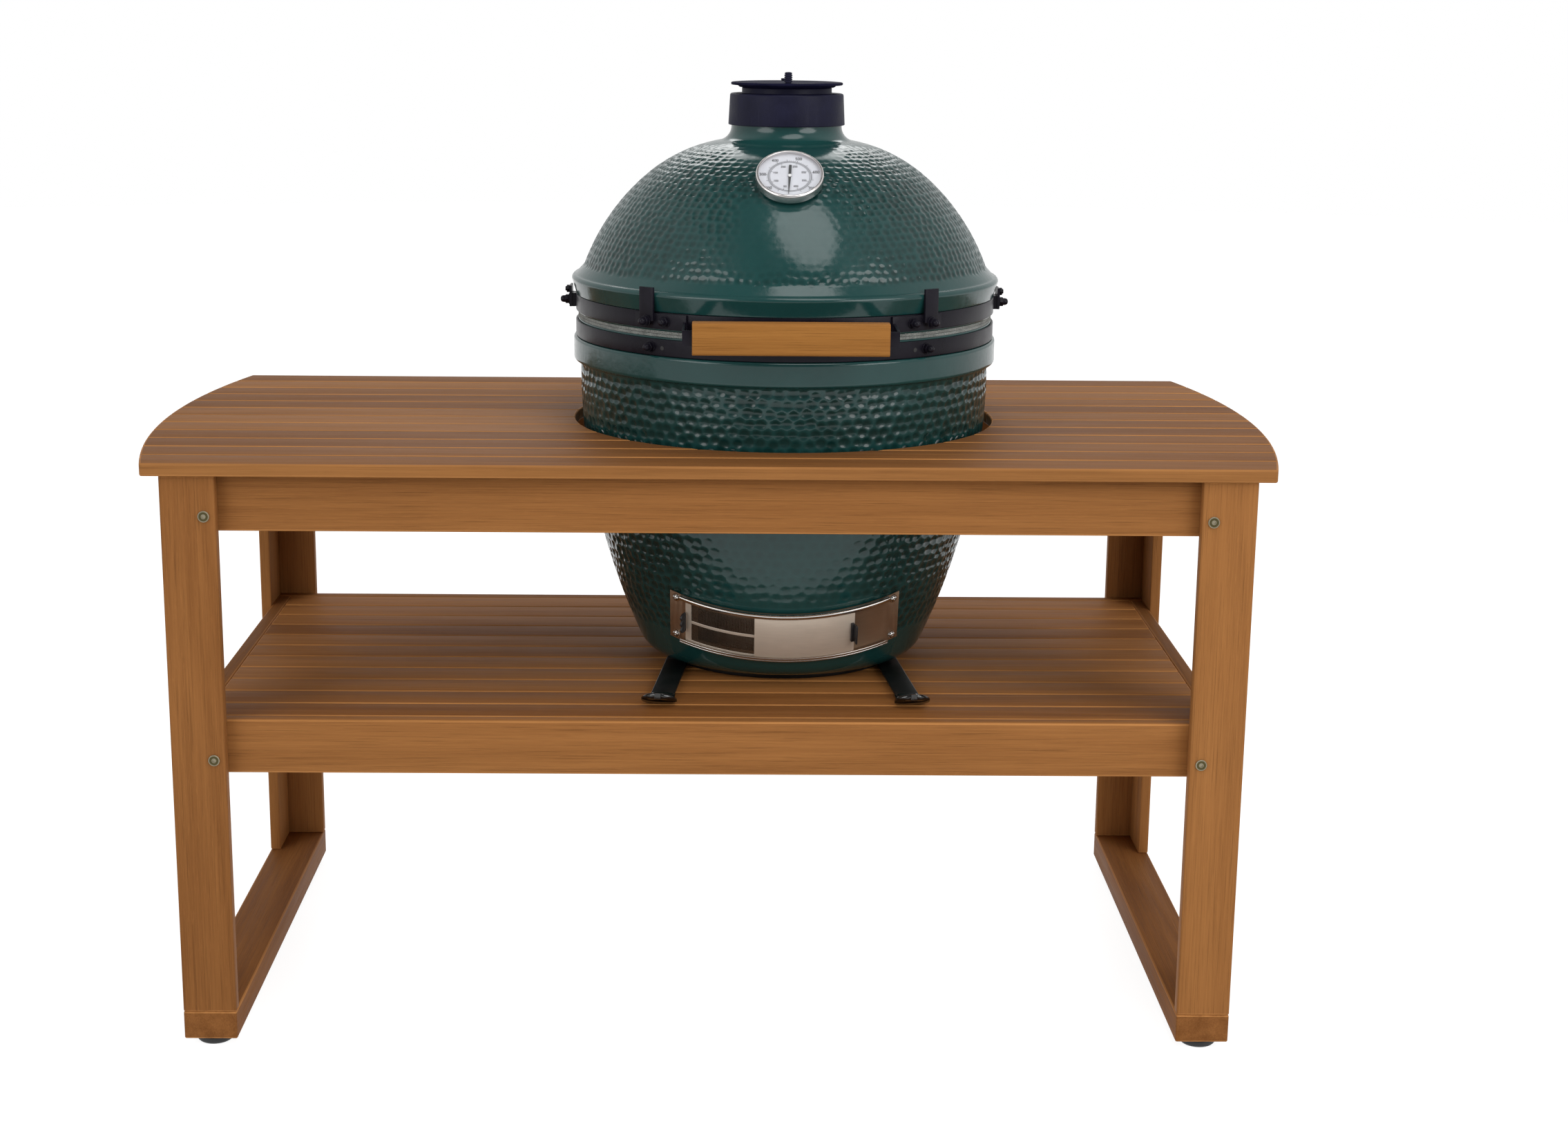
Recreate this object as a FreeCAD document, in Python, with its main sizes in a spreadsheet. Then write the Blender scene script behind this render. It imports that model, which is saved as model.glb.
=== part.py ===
import FreeCAD, Part
import math
import os
from types import SimpleNamespace

import Sketcher

# Kamado grill table: a slatted hardwood table that carries a ceramic kamado in a round hole.
# X runs along the table, -Y faces the cook, Z is up. The origin is the floor below the table's centre.
# All lengths are millimetres and all angles are degrees.

SIZES = {
    # table top
    "table_length": 1538.0,
    "end_bow": 44.5,
    "leg_setback": 7.5,
    "table_height": 800.0,
    "top_thickness": 17.0,
    "slat_gap": 2.0,
    "hole_radius": 297.0,
    # table frame
    "end_overhang": 66.0,
    "apron_clearance": 40.0,
    "leg_face_width": 71.0,
    "leg_face_thickness": 19.0,
    "leg_side_depth": 100.0,
    "leg_side_thickness": 16.0,
    "apron_height": 76.0,
    "rail_thickness": 20.0,
    "foot_rail_height": 39.0,
    "glide_height": 12.0,
    "glide_radius": 24.5,
    "glide_inset": 31.5,
    "glide_chamfer": 3.0,
    "bearer_width": 45.0,
    "bearer_height": 24.0,
    "bearer_offset": 338.0,
    "bearer_inset": 233.0,
    # shelf
    "shelf_height": 454.0,
    "shelf_rail_height": 73.0,
    "shelf_slat_thickness": 16.0,
    # frame bolts
    "bolt_inset": 15.0,
    "bolt_rise": 23.0,
    "bolt_radius": 3.0,
    "bolt_slack": 0.1,
    "bolt_head_radius": 7.5,
    "bolt_head_height": 2.5,
    "bolt_tail": 9.0,
    "nut_size": 6.0,
    "nut_height": 5.0,
    # kamado ceramics, as radii and as heights above or below the lid's parting plane
    "kamado_x": 102.5,
    "kamado_y": 25.0,
    "foot_rise": 8.5,
    "base_depth": 485.0,
    "ceramic_wall": 28.0,
    "rim_radius": 291.7,
    "rim_bore": 262.0,
    "felt_thickness": 4.0,
    "felt_inset": 2.0,
    "lid_gap": 0.3,
    "fit_gap": 0.3,
    "cut_margin": 1.0,
    "weld_overlap": 0.2,
    "base_lip_radius": 298.0,
    "base_lip_top": 29.5,
    "base_lip_bottom": 59.5,
    "lip_chamfer": 3.5,
    "waist_radius": 288.5,
    "waist_drop": 77.5,
    "belly_arc": 930.0,
    "foot_round_drop": 462.5,
    "dome_lip_radius": 300.5,
    "dome_lip_rise": 50.5,
    "dome_lip_chamfer": 6.0,
    "dome_lip_foot": 294.6,
    "dome_foot_radius": 283.0,
    "dome_foot_rise": 69.1,
    "dome_arc": 302.4,
    "shoulder_radius": 197.3,
    "shoulder_arc": 220.0,
    "collar_radius": 93.3,
    "collar_rise": 241.5,
    "collar_arc": 20.0,
    "neck_radius": 77.0,
    "neck_foot_rise": 261.1,
    "neck_top_rise": 292.5,
    "flue_radius": 52.0,
    # bands
    "band_thickness": 3.0,
    "band_height": 22.5,
    "band_offset": 6.5,
    "band_nut_angle": 33.2,
    "hook_angle": 38.4,
    "hook_width": 23.0,
    "hook_rise": 62.0,
    "plate_start": 27.0,
    "plate_end": 43.0,
    "plate_thickness": 3.5,
    "cap_nut_size": 7.0,
    "cap_nut_height": 6.0,
    "cap_nut_dome": 7.0,
    "cap_nut_dome_foot": 5.0,
    "cap_nut_dome_tip": 2.8,
    "band_margin": 1.0,
    "side_clamp_height": 30.0,
    "clamp_bolt_drop": 5.0,
    "clamp_half_angle": 3.0,
    # handle
    "handle_length": 253.0,
    "handle_height": 42.0,
    "handle_depth": 26.0,
    "handle_reach": 345.0,
    "handle_rise": 9.0,
    "handle_round": 5.0,
    "arm_height": 20.0,
    "arm_thickness": 3.0,
    "arm_offset": 13.0,
    "arm_tongue": 30.0,
    # rear hinge
    "hinge_reach": 337.0,
    "hinge_pin_radius": 5.0,
    "hinge_bore_gap": 0.05,
    "hinge_eye_radius": 11.0,
    "hinge_half_width": 78.0,
    "hinge_plate": 5.0,
    "hinge_side_gap": 1.0,
    "pin_head_height": 3.0,
    "spring_wire": 2.6,
    "spring_radius": 6.6,
    "spring_pitch": 3.6,
    "spring_upper_leg": 35.0,
    "spring_lower_leg": 41.0,
    "spring_centre": 34.0,
    # inside the base
    "fire_box_wall": 20.0,
    "fire_box_foot": 150.0,
    "fire_box_top": 222.0,
    "fire_box_height": 245.0,
    "ash_door_height": 32.0,
    "grate_radius": 122.0,
    "grate_rise": 62.0,
    "grate_thickness": 8.0,
    "grate_hole": 8.0,
    "grate_inner_ring": 42.0,
    "grate_outer_ring": 82.0,
    "fire_ring_top": 246.0,
    "fire_ring_height": 160.0,
    "grid_radius": 236.0,
    "grid_wire": 6.0,
    "grid_bar": 4.0,
    "grid_pitch": 21.0,
    "grid_cross_gap": 2.0,
    # draft door
    "draft_drop": 415.0,
    "draft_standoff": 2.5,
    "draft_half_height": 38.5,
    "draft_half_angle": 40.0,
    "draft_window_left": 29.0,
    "draft_window_right": 1.0,
    "draft_window_half": 26.0,
    "draft_hole_headroom": 4.0,
    "draft_sheet": 1.5,
    "draft_lip": 6.0,
    "draft_track_angle": 35.0,
    "draft_slip": 0.4,
    "door_sheet": 1.2,
    "screen_left": 33.5,
    "screen_right": 0.5,
    "solid_left": 9.7,
    "solid_right": 22.6,
    "screen_border": 5.0,
    "screen_half_window": 25.0,
    "screen_bar": 3.0,
    "mesh_wire": 0.5,
    "tab_angle": 0.4,
    "tab_height": 31.0,
    "tab_reach": 10.0,
    "draft_screw_radius": 2.5,
    "draft_screw_head": 4.8,
    "draft_screw_edge": 3.0,
    "draft_screw_length": 12.0,
    # thermometer
    "dial_elevation": 51.0,
    "dial_case_radius": 45.0,
    "dial_case_depth": 15.0,
    "dial_wall": 1.6,
    "dial_chamfer": 2.6,
    "dial_standoff": 0.3,
    "dial_bezel": 3.5,
    "dial_plate": 0.8,
    "dial_plate_rise": 8.0,
    "dial_stem_radius": 3.0,
    "dial_stem_length": 70.0,
    "dial_stem_gap": 1.0,
    "dial_stem_tip": 3.0,
    "dial_stem_collar": 3.0,
    "dial_pivot_stub": 0.4,
    "needle_length": 34.6,
    "needle_tail": 20.5,
    "needle_width": 3.7,
    "needle_tip": 0.3,
    "needle_hub": 2.6,
    "needle_pivot": 1.2,
    "needle_angle": 176.8,
    "needle_rise": 10.0,
    "needle_thickness": 0.7,
    "lens_rise": 12.2,
    "lens_thickness": 1.5,
    # top cap
    "cap_gap": 0.3,
    "cap_foot_radius": 81.2,
    "cap_top_radius": 79.0,
    "cap_drop": 29.5,
    "cap_chamfer": 1.6,
    "cap_plate": 13.5,
    "cap_bore": 45.0,
    "cap_seat_radius": 62.5,
    "cap_seat_height": 8.0,
    "disc_radius": 77.8,
    "disc_thickness": 7.5,
    "disc_slip": 0.2,
    "disc_pivot": 54.0,
    "pivot_radius": 4.0,
    "pivot_gap": 0.06,
    "knob_reach": 69.0,
    "knob_radius": 5.6,
    "knob_height": 15.0,
    "knob_neck": 1.6,
    "knob_groove": 1.0,
    "knob_groove_pitch": 2.4,
    # nest
    "nest_ring_radius": 165.0,
    "nest_ring_height": 7.6,
    "nest_ring_thickness": 5.0,
    "nest_offset": 141.0,
    "nest_splay": 5.4,
    "nest_reach": 332.0,
    "nest_strap_width": 32.0,
    "nest_strap_thickness": 4.0,
    "nest_strap_drop": 1.2,
    "nest_boot_length": 45.0,
    "nest_boot_width": 46.0,
    "nest_boot_wall": 1.5,
    "nest_toe": 6.0,
}

TOP_SLATS = 12
SHELF_SLATS = 11
GRID_BARS = 21
SCREEN_COLUMNS = 10
SCREEN_ROWS = 2
GRATE_INNER_HOLES = 6
GRATE_OUTER_HOLES = 12
SPRING_TURNS = 4
SPRING_SAMPLE = 1.0
WIRE_SIDES = 8
KNOB_GROOVES = 3

doc = FreeCAD.newDocument("KamadoTable")
sheet = doc.addObject("Spreadsheet::Sheet", "Sizes")
for row, (word, number) in enumerate(SIZES.items(), start=1):
    sheet.set(f"A{row}", word.replace("_", " "))
    sheet.set(f"B{row}", str(number))
    sheet.setAlias(f"B{row}", word)
doc.recompute()


class Size:
    """A number kept beside the expression that ties it to the sheet."""

    def __init__(self, value, text):
        self.value = value
        self.text = text

    def __add__(self, other):
        other = as_size(other)
        return Size(self.value + other.value, f"({self.text} + {other.text})")

    def __radd__(self, other):
        return as_size(other) + self

    def __sub__(self, other):
        other = as_size(other)
        return Size(self.value - other.value, f"({self.text} - {other.text})")

    def __rsub__(self, other):
        return as_size(other) - self

    def __mul__(self, other):
        other = as_size(other)
        return Size(self.value * other.value, f"({self.text} * {other.text})")

    def __rmul__(self, other):
        return as_size(other) * self

    def __truediv__(self, other):
        other = as_size(other)
        return Size(self.value / other.value, f"({self.text} / {other.text})")

    def __neg__(self):
        return Size(-self.value, f"(0 - {self.text})")


def as_size(number):
    return number if isinstance(number, Size) else Size(float(number), f"({float(number)})")


def root(size):
    return Size(math.sqrt(size.value), f"sqrt({size.text})")


def sine(angle):
    angle = as_size(angle)
    return Size(math.sin(math.radians(angle.value)), f"sin({angle.text} * 1 deg)")


def cosine(angle):
    angle = as_size(angle)
    return Size(math.cos(math.radians(angle.value)), f"cos({angle.text} * 1 deg)")


def arc_sine(ratio):
    return Size(math.degrees(math.asin(ratio.value)), f"(asin({ratio.text}) / 1 deg)")


s = SimpleNamespace(**{word: Size(float(number), "Sizes." + word) for word, number in SIZES.items()})

# The frame is as deep as the kamado needs between the aprons, and the top follows the frame

leg_stance = 2 * (s.waist_radius + s.apron_clearance + s.rail_thickness + s.leg_face_thickness)
leg_span = s.table_length - 2 * s.end_overhang
table_depth = leg_stance + 2 * s.leg_setback


# Helpers that make primitives, booleans and bodies with their sizes bound to the sheet

def bind(item, **links):
    for prop, size in links.items():
        item.setExpression(prop.replace("__", "."), as_size(size).text)
    return item


def place(item, x=0, y=0, z=0, axis=None, angle=0):
    """Moves an object, and turns it about an axis through its own origin."""
    if axis is not None:
        turn = FreeCAD.Rotation(FreeCAD.Vector(*axis), as_size(angle).value)
        item.Placement = FreeCAD.Placement(FreeCAD.Vector(), turn)
        item.setExpression("Placement.Rotation.Angle", as_size(angle).text + " * 1 deg")
    for letter, size in zip("xyz", (x, y, z)):
        item.setExpression("Placement.Base." + letter, as_size(size).text)
    return item


def box(name, length, width, height, x=0, y=0, z=0):
    item = doc.addObject("Part::Box", name)
    bind(item, Length=length, Width=width, Height=height)
    return place(item, x, y, z)


def centred_box(name, length, width, height, x=0, y=0, z=0):
    near_x = as_size(x) - as_size(length) / 2
    near_y = as_size(y) - as_size(width) / 2
    return box(name, length, width, height, near_x, near_y, z)


def rod(name, radius, height, x=0, y=0, z=0, axis=None, angle=0, sweep=None):
    item = doc.addObject("Part::Cylinder", name)
    bind(item, Radius=radius, Height=height)
    if sweep is not None:
        bind(item, Angle=sweep)
    return place(item, x, y, z, axis, angle)


def boolean(kind, name, base, tool):
    item = doc.addObject("Part::" + kind, name)
    item.Base = base
    item.Tool = tool
    return item


def fuse(name, *pieces):
    item = doc.addObject("Part::MultiFuse", name)
    item.Shapes = list(pieces)
    return item


def group(name, pieces):
    item = doc.addObject("Part::Compound", name)
    item.Links = list(pieces)
    return item


def cut(name, base, *tools):
    tool = tools[0] if len(tools) == 1 else group(name + "_tools", tools)
    return boolean("Cut", name, base, tool)


def sector(name, inner, outer, low, high, start, end):
    """A part of a ring, from one angle to another, counted from -Y towards +X."""
    sweep = as_size(end) - start
    turn = as_size(start) - 90
    wedge = rod(name + "_wedge", outer, as_size(high) - low, z=low, axis=(0, 0, 1), angle=turn, sweep=sweep)
    bore = rod(name + "_bore", inner, as_size(high) - low + s.cut_margin * 2, z=as_size(low) - s.cut_margin)
    return cut(name, wedge, bore)


def box_between(name, inner, outer, start, end, low, high):
    """A block that cuts a window through a curved sheet, between two angles and two heights."""
    middle = (as_size(start) + end) / 2
    half_sweep = (as_size(end) - start) / 2
    width = 2 * as_size(inner) * sine(half_sweep)
    item = doc.addObject("Part::Box", name)
    bind(item, Length=as_size(outer) - inner, Width=width, Height=as_size(high) - low)
    turn = FreeCAD.Rotation(FreeCAD.Vector(0, 0, 1), middle.value - 90)
    item.Placement = FreeCAD.Placement(FreeCAD.Vector(), turn)
    item.setExpression("Placement.Rotation.Angle", (middle - 90).text + " * 1 deg")
    x = inner * sine(middle) + width / 2 * -cosine(middle)
    y = -(inner * cosine(middle)) - width / 2 * sine(middle)
    return place(item, x, y, low)


def radial_rod(name, radius, start, length, angle, height):
    """A round bar that points away from the kamado's axis, at an angle from -Y towards +X."""
    item = doc.addObject("Part::Cylinder", name)
    bind(item, Radius=radius, Height=length)
    tilt = FreeCAD.Rotation(FreeCAD.Vector(0, 1, 0), 90)
    turn = FreeCAD.Rotation(FreeCAD.Vector(0, 0, 1), as_size(angle).value - 90)
    item.Placement = FreeCAD.Placement(FreeCAD.Vector(), turn * tilt)
    place(item, as_size(start) * sine(angle), -(as_size(start) * cosine(angle)), height)
    return item


def cap_nut(name, start, angle, height):
    """A hexagon nut with a domed end, pointing away from the kamado's axis."""
    turn = FreeCAD.Rotation(FreeCAD.Vector(0, 0, 1), as_size(angle).value - 90)
    tilt = FreeCAD.Rotation(FreeCAD.Vector(0, 1, 0), 90)
    hexagon = doc.addObject("Part::Prism", name + "_hexagon")
    hexagon.Polygon = 6
    bind(hexagon, Circumradius=s.cap_nut_size, Height=s.cap_nut_height)
    dome = doc.addObject("Part::Cone", name + "_dome")
    bind(dome, Radius1=s.cap_nut_dome_foot, Radius2=s.cap_nut_dome_tip, Height=s.cap_nut_dome)
    for piece, distance in ((hexagon, as_size(start)), (dome, as_size(start) + s.cap_nut_height)):
        piece.Placement = FreeCAD.Placement(FreeCAD.Vector(), turn * tilt)
        place(piece, distance * sine(angle), -(distance * cosine(angle)), height)
    return fuse(name, hexagon, dome)


def plane_of(body, role):
    return next(feature for feature in body.Origin.OriginFeatures if feature.Role == role)


def sketch_on(body, role, name, offset=None):
    sketch = body.newObject("Sketcher::SketchObject", name)
    sketch.AttachmentSupport = (plane_of(body, role), [""])
    sketch.MapMode = "FlatFace"
    if offset is not None:
        sketch.setExpression("AttachmentOffset.Base.z", as_size(offset).text)
    return sketch


def arc_between(start, end, radius, side):
    """The shorter arc of a given radius between two points; side 1 bulges to the right of the way."""
    middle = (start + end) * 0.5
    chord = end - start
    half = chord.Length / 2
    across = FreeCAD.Vector(chord.y, -chord.x, 0).normalize() * side
    rise = radius - math.sqrt(max(radius * radius - half * half, 0.0))
    return Part.Arc(start, middle + across * rise, end)


def draw_outline(sketch, steps):
    """Draws a closed outline. A step is a point to go to, with a radius and a side for an arc."""
    points = [tuple(as_size(value) for value in step[:2]) for step in steps]
    vectors = [FreeCAD.Vector(x.value, y.value, 0) for x, y in points]
    count = len(steps)
    for index, step in enumerate(steps):
        start = vectors[index - 1]
        end = vectors[index]
        if len(step) == 2:
            sketch.addGeometry(Part.LineSegment(start, end), False)
        else:
            sketch.addGeometry(arc_between(start, end, as_size(step[2]).value, step[3]), False)
    # an arc's own ends run against the clock, so the end that starts the way is found by its place
    ends = []
    for index in range(count):
        first = sketch.getPoint(index, 1)
        ends.append((1, 2) if (first - vectors[index - 1]).Length < 1e-6 else (2, 1))
    for index, step in enumerate(steps):
        after = (index + 1) % count
        sketch.addConstraint(Sketcher.Constraint("Coincident", index, ends[index][1], after, ends[after][0]))
    for index, (x, y) in enumerate(points):
        corner = ends[index][1]
        for kind, size in (("DistanceX", x), ("DistanceY", y)):
            if abs(size.value) < 1e-9 and size.text.strip("()0. ") == "":
                axis = -2 if kind == "DistanceX" else -1
                sketch.addConstraint(Sketcher.Constraint("PointOnObject", index, corner, axis))
                continue
            number = sketch.addConstraint(Sketcher.Constraint(kind, -1, 1, index, corner, size.value))
            sketch.setExpression(f"Constraints[{number}]", size.text)
    for index, step in enumerate(steps):
        if len(step) > 2:
            radius = as_size(step[2])
            number = sketch.addConstraint(Sketcher.Constraint("Radius", index, radius.value))
            sketch.setExpression(f"Constraints[{number}]", radius.text)
    return sketch


def turned(name, steps):
    """A body turned about the Z axis from its half section: first value radius, second value height."""
    body = doc.addObject("PartDesign::Body", name)
    sketch = draw_outline(sketch_on(body, "XZ_Plane", name + "_section"), steps)
    turn = body.newObject("PartDesign::Revolution", name + "_turn")
    turn.Profile = sketch
    turn.ReferenceAxis = (sketch, ["V_Axis"])
    turn.Angle = 360
    body.Tip = turn
    return body


def padded(name, role, steps, thickness):
    """A flat body of an outline on one of its own origin planes, as thick on both sides of the plane."""
    body = doc.addObject("PartDesign::Body", name)
    sketch = draw_outline(sketch_on(body, role, name + "_outline"), steps)
    pad = body.newObject("PartDesign::Pad", name + "_pad")
    pad.Profile = sketch
    pad.Midplane = True
    bind(pad, Length=thickness)
    body.Tip = pad
    return body


def ring_steps(inner, outer, low, high):
    return [(outer, low), (outer, high), (inner, high), (inner, low)]


NODES = []


def finished(item, label):
    item.Label = label
    NODES.append(item)
    return item


def on_kamado(item, label):
    """Puts a piece that was made about the kamado's own axis in its place in the table."""
    place(item, s.kamado_x, s.kamado_y, 0)
    return finished(item, label)


# Heights and radii that several pieces share

top_underside = s.table_height - s.top_thickness
apron_bottom = top_underside - s.apron_height
rail_face = leg_stance / 2 - s.leg_face_thickness
rail_back = rail_face - s.rail_thickness
side_inner = leg_span / 2 - s.leg_side_thickness
foot_top = s.glide_height + s.foot_rail_height
leg_inner = leg_span / 2 - s.leg_face_width

base_bottom = s.shelf_height + s.foot_rise
parting = base_bottom + s.base_depth
base_top = parting - s.lid_gap / 2 - s.felt_thickness
dome_bottom = parting + s.lid_gap / 2 + s.felt_thickness
band_bore = s.rim_radius + s.fit_gap
band_outer = band_bore + s.band_thickness
dome_band_low = parting + s.band_offset
dome_band_high = dome_band_low + s.band_height
base_band_high = parting - s.band_offset
base_band_low = base_band_high - s.band_height


def belly_radius(height):
    """The base's outer radius at a height below its waist."""
    drop = parting - s.waist_drop - height
    return s.waist_radius - s.belly_arc + root(s.belly_arc * s.belly_arc - drop * drop)


# Table top: boards cut to the bowed outline and notched round the kamado

half_depth = table_depth / 2
half_corner = s.table_length / 2 - s.end_bow
bow = s.end_bow
bow_arc = (half_depth * half_depth + bow * bow) / (2 * bow)
slat_pitch = table_depth / TOP_SLATS
board_length = s.table_length + s.cut_margin * 2

boards = []
for index in range(TOP_SLATS):
    low = slat_pitch * index - half_depth + (s.slat_gap / 2 if index else 0)
    high = slat_pitch * (index + 1) - half_depth - (s.slat_gap / 2 if index < TOP_SLATS - 1 else 0)
    boards.append(box(f"top_board_{index + 1}", board_length, high - low, s.top_thickness,
                      -(board_length / 2), low, top_underside))
top_outline = padded("top_outline", "XY_Plane", [
    (half_corner, -half_depth),
    (half_corner, half_depth, bow_arc, 1),
    (-half_corner, half_depth),
    (-half_corner, -half_depth, bow_arc, 1),
], s.top_thickness + s.cut_margin * 2)
place(top_outline, z=top_underside + s.top_thickness / 2)
top_boards = boolean("Common", "top_boards", group("top_board_set", boards), top_outline)
top_hole = rod("top_hole", s.hole_radius, s.top_thickness + s.cut_margin * 2,
               s.kamado_x, s.kamado_y, top_underside - s.cut_margin)
finished(cut("top_slats_cut", top_boards, top_hole), "top_slats")

# Frame bolts: a low round head with a socket outside the leg, and a nut behind the rail

bolt_parts = []
nut_parts = []
hole_parts = []
bolt_grip = s.leg_face_thickness + s.rail_thickness
bolt_bore = s.bolt_radius + s.bolt_slack
for x_side, x_word in ((-1, "left"), (1, "right")):
    for y_side, y_word in ((-1, "front"), (1, "back")):
        for level, height in (("top", apron_bottom + s.bolt_rise),
                              ("shelf", s.shelf_height - s.shelf_rail_height + s.bolt_rise)):
            tag = f"{y_word}_{x_word}_{level}"
            inward = 90 * y_side
            x = x_side * (leg_inner + s.bolt_inset)
            seat = y_side * (leg_stance / 2)
            inside = y_side * rail_back
            head = rod("bolt_head_" + tag, s.bolt_head_radius, s.bolt_head_height, x, seat, height,
                       (1, 0, 0), -inward)
            socket = doc.addObject("Part::Prism", "bolt_socket_" + tag)
            socket.Polygon = 6
            bind(socket, Circumradius=s.bolt_radius, Height=s.bolt_head_height)
            place(socket, x, y_side * (leg_stance / 2 + s.cut_margin), height, (1, 0, 0), -inward)
            shank = rod("bolt_shank_" + tag, s.bolt_radius, bolt_grip + s.bolt_tail, x, seat, height,
                        (1, 0, 0), inward)
            bolt_parts.append(fuse("bolt_" + tag, cut("bolt_top_" + tag, head, socket), shank))
            nut = doc.addObject("Part::Prism", "nut_body_" + tag)
            nut.Polygon = 6
            bind(nut, Circumradius=s.nut_size, Height=s.nut_height)
            place(nut, x, inside, height, (1, 0, 0), inward)
            thread = rod("nut_bore_" + tag, bolt_bore, s.nut_height + s.cut_margin * 2,
                         x, y_side * (rail_back + s.cut_margin), height, (1, 0, 0), inward)
            nut_parts.append(cut("nut_" + tag, nut, thread))
            hole_parts.append(rod("bolt_hole_" + tag, bolt_bore, bolt_grip + s.cut_margin * 2,
                                  x, y_side * (leg_stance / 2 + s.cut_margin), height, (1, 0, 0), inward))
finished(group("bolt_set", bolt_parts), "frame_bolts")
finished(group("nut_set", nut_parts), "frame_nuts")
bolt_holes = group("bolt_hole_set", hole_parts)

# Table frame: aprons, end aprons and the bearers under the slats

for word, side in (("front", -1), ("back", 1)):
    low = -rail_face if side < 0 else rail_back
    apron = box(word + "_apron_board", side_inner * 2, s.rail_thickness, s.apron_height,
                -side_inner, low, apron_bottom)
    finished(boolean("Cut", word + "_apron_drilled", apron, bolt_holes), word + "_apron")
    rail = box(f"shelf_{word}_board", side_inner * 2, s.rail_thickness, s.shelf_rail_height,
               -side_inner, low, s.shelf_height - s.shelf_rail_height)
    finished(boolean("Cut", f"shelf_{word}_drilled", rail, bolt_holes), f"shelf_{word}_rail")
for word, side in (("left", -1), ("right", 1)):
    low = -side_inner if side < 0 else side_inner - s.rail_thickness
    finished(box(word + "_end_apron", s.rail_thickness, rail_back * 2, s.apron_height,
                 low, -rail_back, apron_bottom), word + "_end_apron")
    finished(box(f"shelf_{word}_cleat", s.rail_thickness, rail_back * 2, s.shelf_rail_height,
                 low, -rail_back, s.shelf_height - s.shelf_rail_height), f"shelf_{word}_cleat")

bearer_places = (s.bearer_inset - leg_span / 2, s.kamado_x - s.bearer_offset, s.kamado_x + s.bearer_offset)
finished(group("top_bearer_set", [
    centred_box(f"top_bearer_{index}", s.bearer_width, rail_back * 2, s.bearer_height,
                x, 0, top_underside - s.bearer_height)
    for index, x in enumerate(bearer_places, start=1)]), "top_bearers")
shelf_underside = s.shelf_height - s.shelf_slat_thickness
finished(group("shelf_bearer_set", [
    centred_box(f"shelf_bearer_{index}", s.bearer_width, rail_back * 2, s.bearer_height,
                x, 0, shelf_underside - s.bearer_height)
    for index, x in enumerate(bearer_places, start=1)]), "shelf_bearers")

# Shelf slats, between the two cleats and the two rails

shelf_pitch = rail_back * 2 / SHELF_SLATS
slat_length = (side_inner - s.rail_thickness) * 2
finished(group("shelf_slat_set", [
    box(f"shelf_board_{index + 1}", slat_length, shelf_pitch - s.slat_gap, s.shelf_slat_thickness,
        -(slat_length / 2), shelf_pitch * index - rail_back + s.slat_gap / 2, shelf_underside)
    for index in range(SHELF_SLATS)]), "shelf_slats")

# Legs: a face board and a side board each, standing on a foot rail with two glides

leg_height = top_underside - foot_top
glides = []
for word, side in (("left", -1), ("right", 1)):
    for face, depth_side in (("front", -1), ("back", 1)):
        face_x = -(leg_span / 2) if side < 0 else leg_inner
        face_y = -(leg_stance / 2) if depth_side < 0 else rail_face
        face_board = box(f"leg_{face}_{word}_board", s.leg_face_width, s.leg_face_thickness, leg_height,
                         face_x, face_y, foot_top)
        finished(boolean("Cut", f"leg_{face}_{word}_drilled", face_board, bolt_holes),
                 f"leg_{face}_{word}_face")
        side_x = -(leg_span / 2) if side < 0 else side_inner
        side_depth = s.leg_side_depth - s.leg_face_thickness
        side_y = -rail_face if depth_side < 0 else rail_face - side_depth
        finished(box(f"leg_{face}_{word}_side", s.leg_side_thickness, side_depth, leg_height,
                     side_x, side_y, foot_top), f"leg_{face}_{word}_side")
        glide = turned(f"glide_{face}_{word}", [
            (0, 0),
            (s.glide_radius - s.glide_chamfer, 0),
            (s.glide_radius, s.glide_chamfer),
            (s.glide_radius, s.glide_height - s.glide_chamfer),
            (s.glide_radius - s.glide_chamfer, s.glide_height),
            (0, s.glide_height),
        ])
        place(glide, side * (leg_span - s.leg_face_width) / 2,
              depth_side * (leg_stance / 2 - s.glide_inset), 0)
        glides.append(glide)
    finished(centred_box(f"foot_rail_{word}", s.leg_face_width, leg_stance, s.foot_rail_height,
                         side * (leg_span - s.leg_face_width) / 2, 0, s.glide_height), f"foot_rail_{word}")
finished(group("glide_set", glides), "glides")

# Kamado base: ceramic turned about the kamado's axis, with the draft opening cut through its front

lip_top = parting - s.base_lip_top
lip_bottom = parting - s.base_lip_bottom
waist = parting - s.waist_drop
foot_start = parting - s.foot_round_drop
foot_slope = (waist - foot_start) / s.belly_arc
foot_round = (foot_start - base_bottom) / (1 - foot_slope)
foot_flat = belly_radius(foot_start) - foot_round * root(1 - foot_slope * foot_slope)
inner_arc = s.belly_arc - s.ceramic_wall
floor_height = base_bottom + s.ceramic_wall


def inner_wall(share):
    """A point of the base's inner wall, at a share of the way from its waist down to its floor."""
    drop = (waist - floor_height) * share
    return s.waist_radius - s.belly_arc + root(inner_arc * inner_arc - drop * drop), waist - drop



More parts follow.
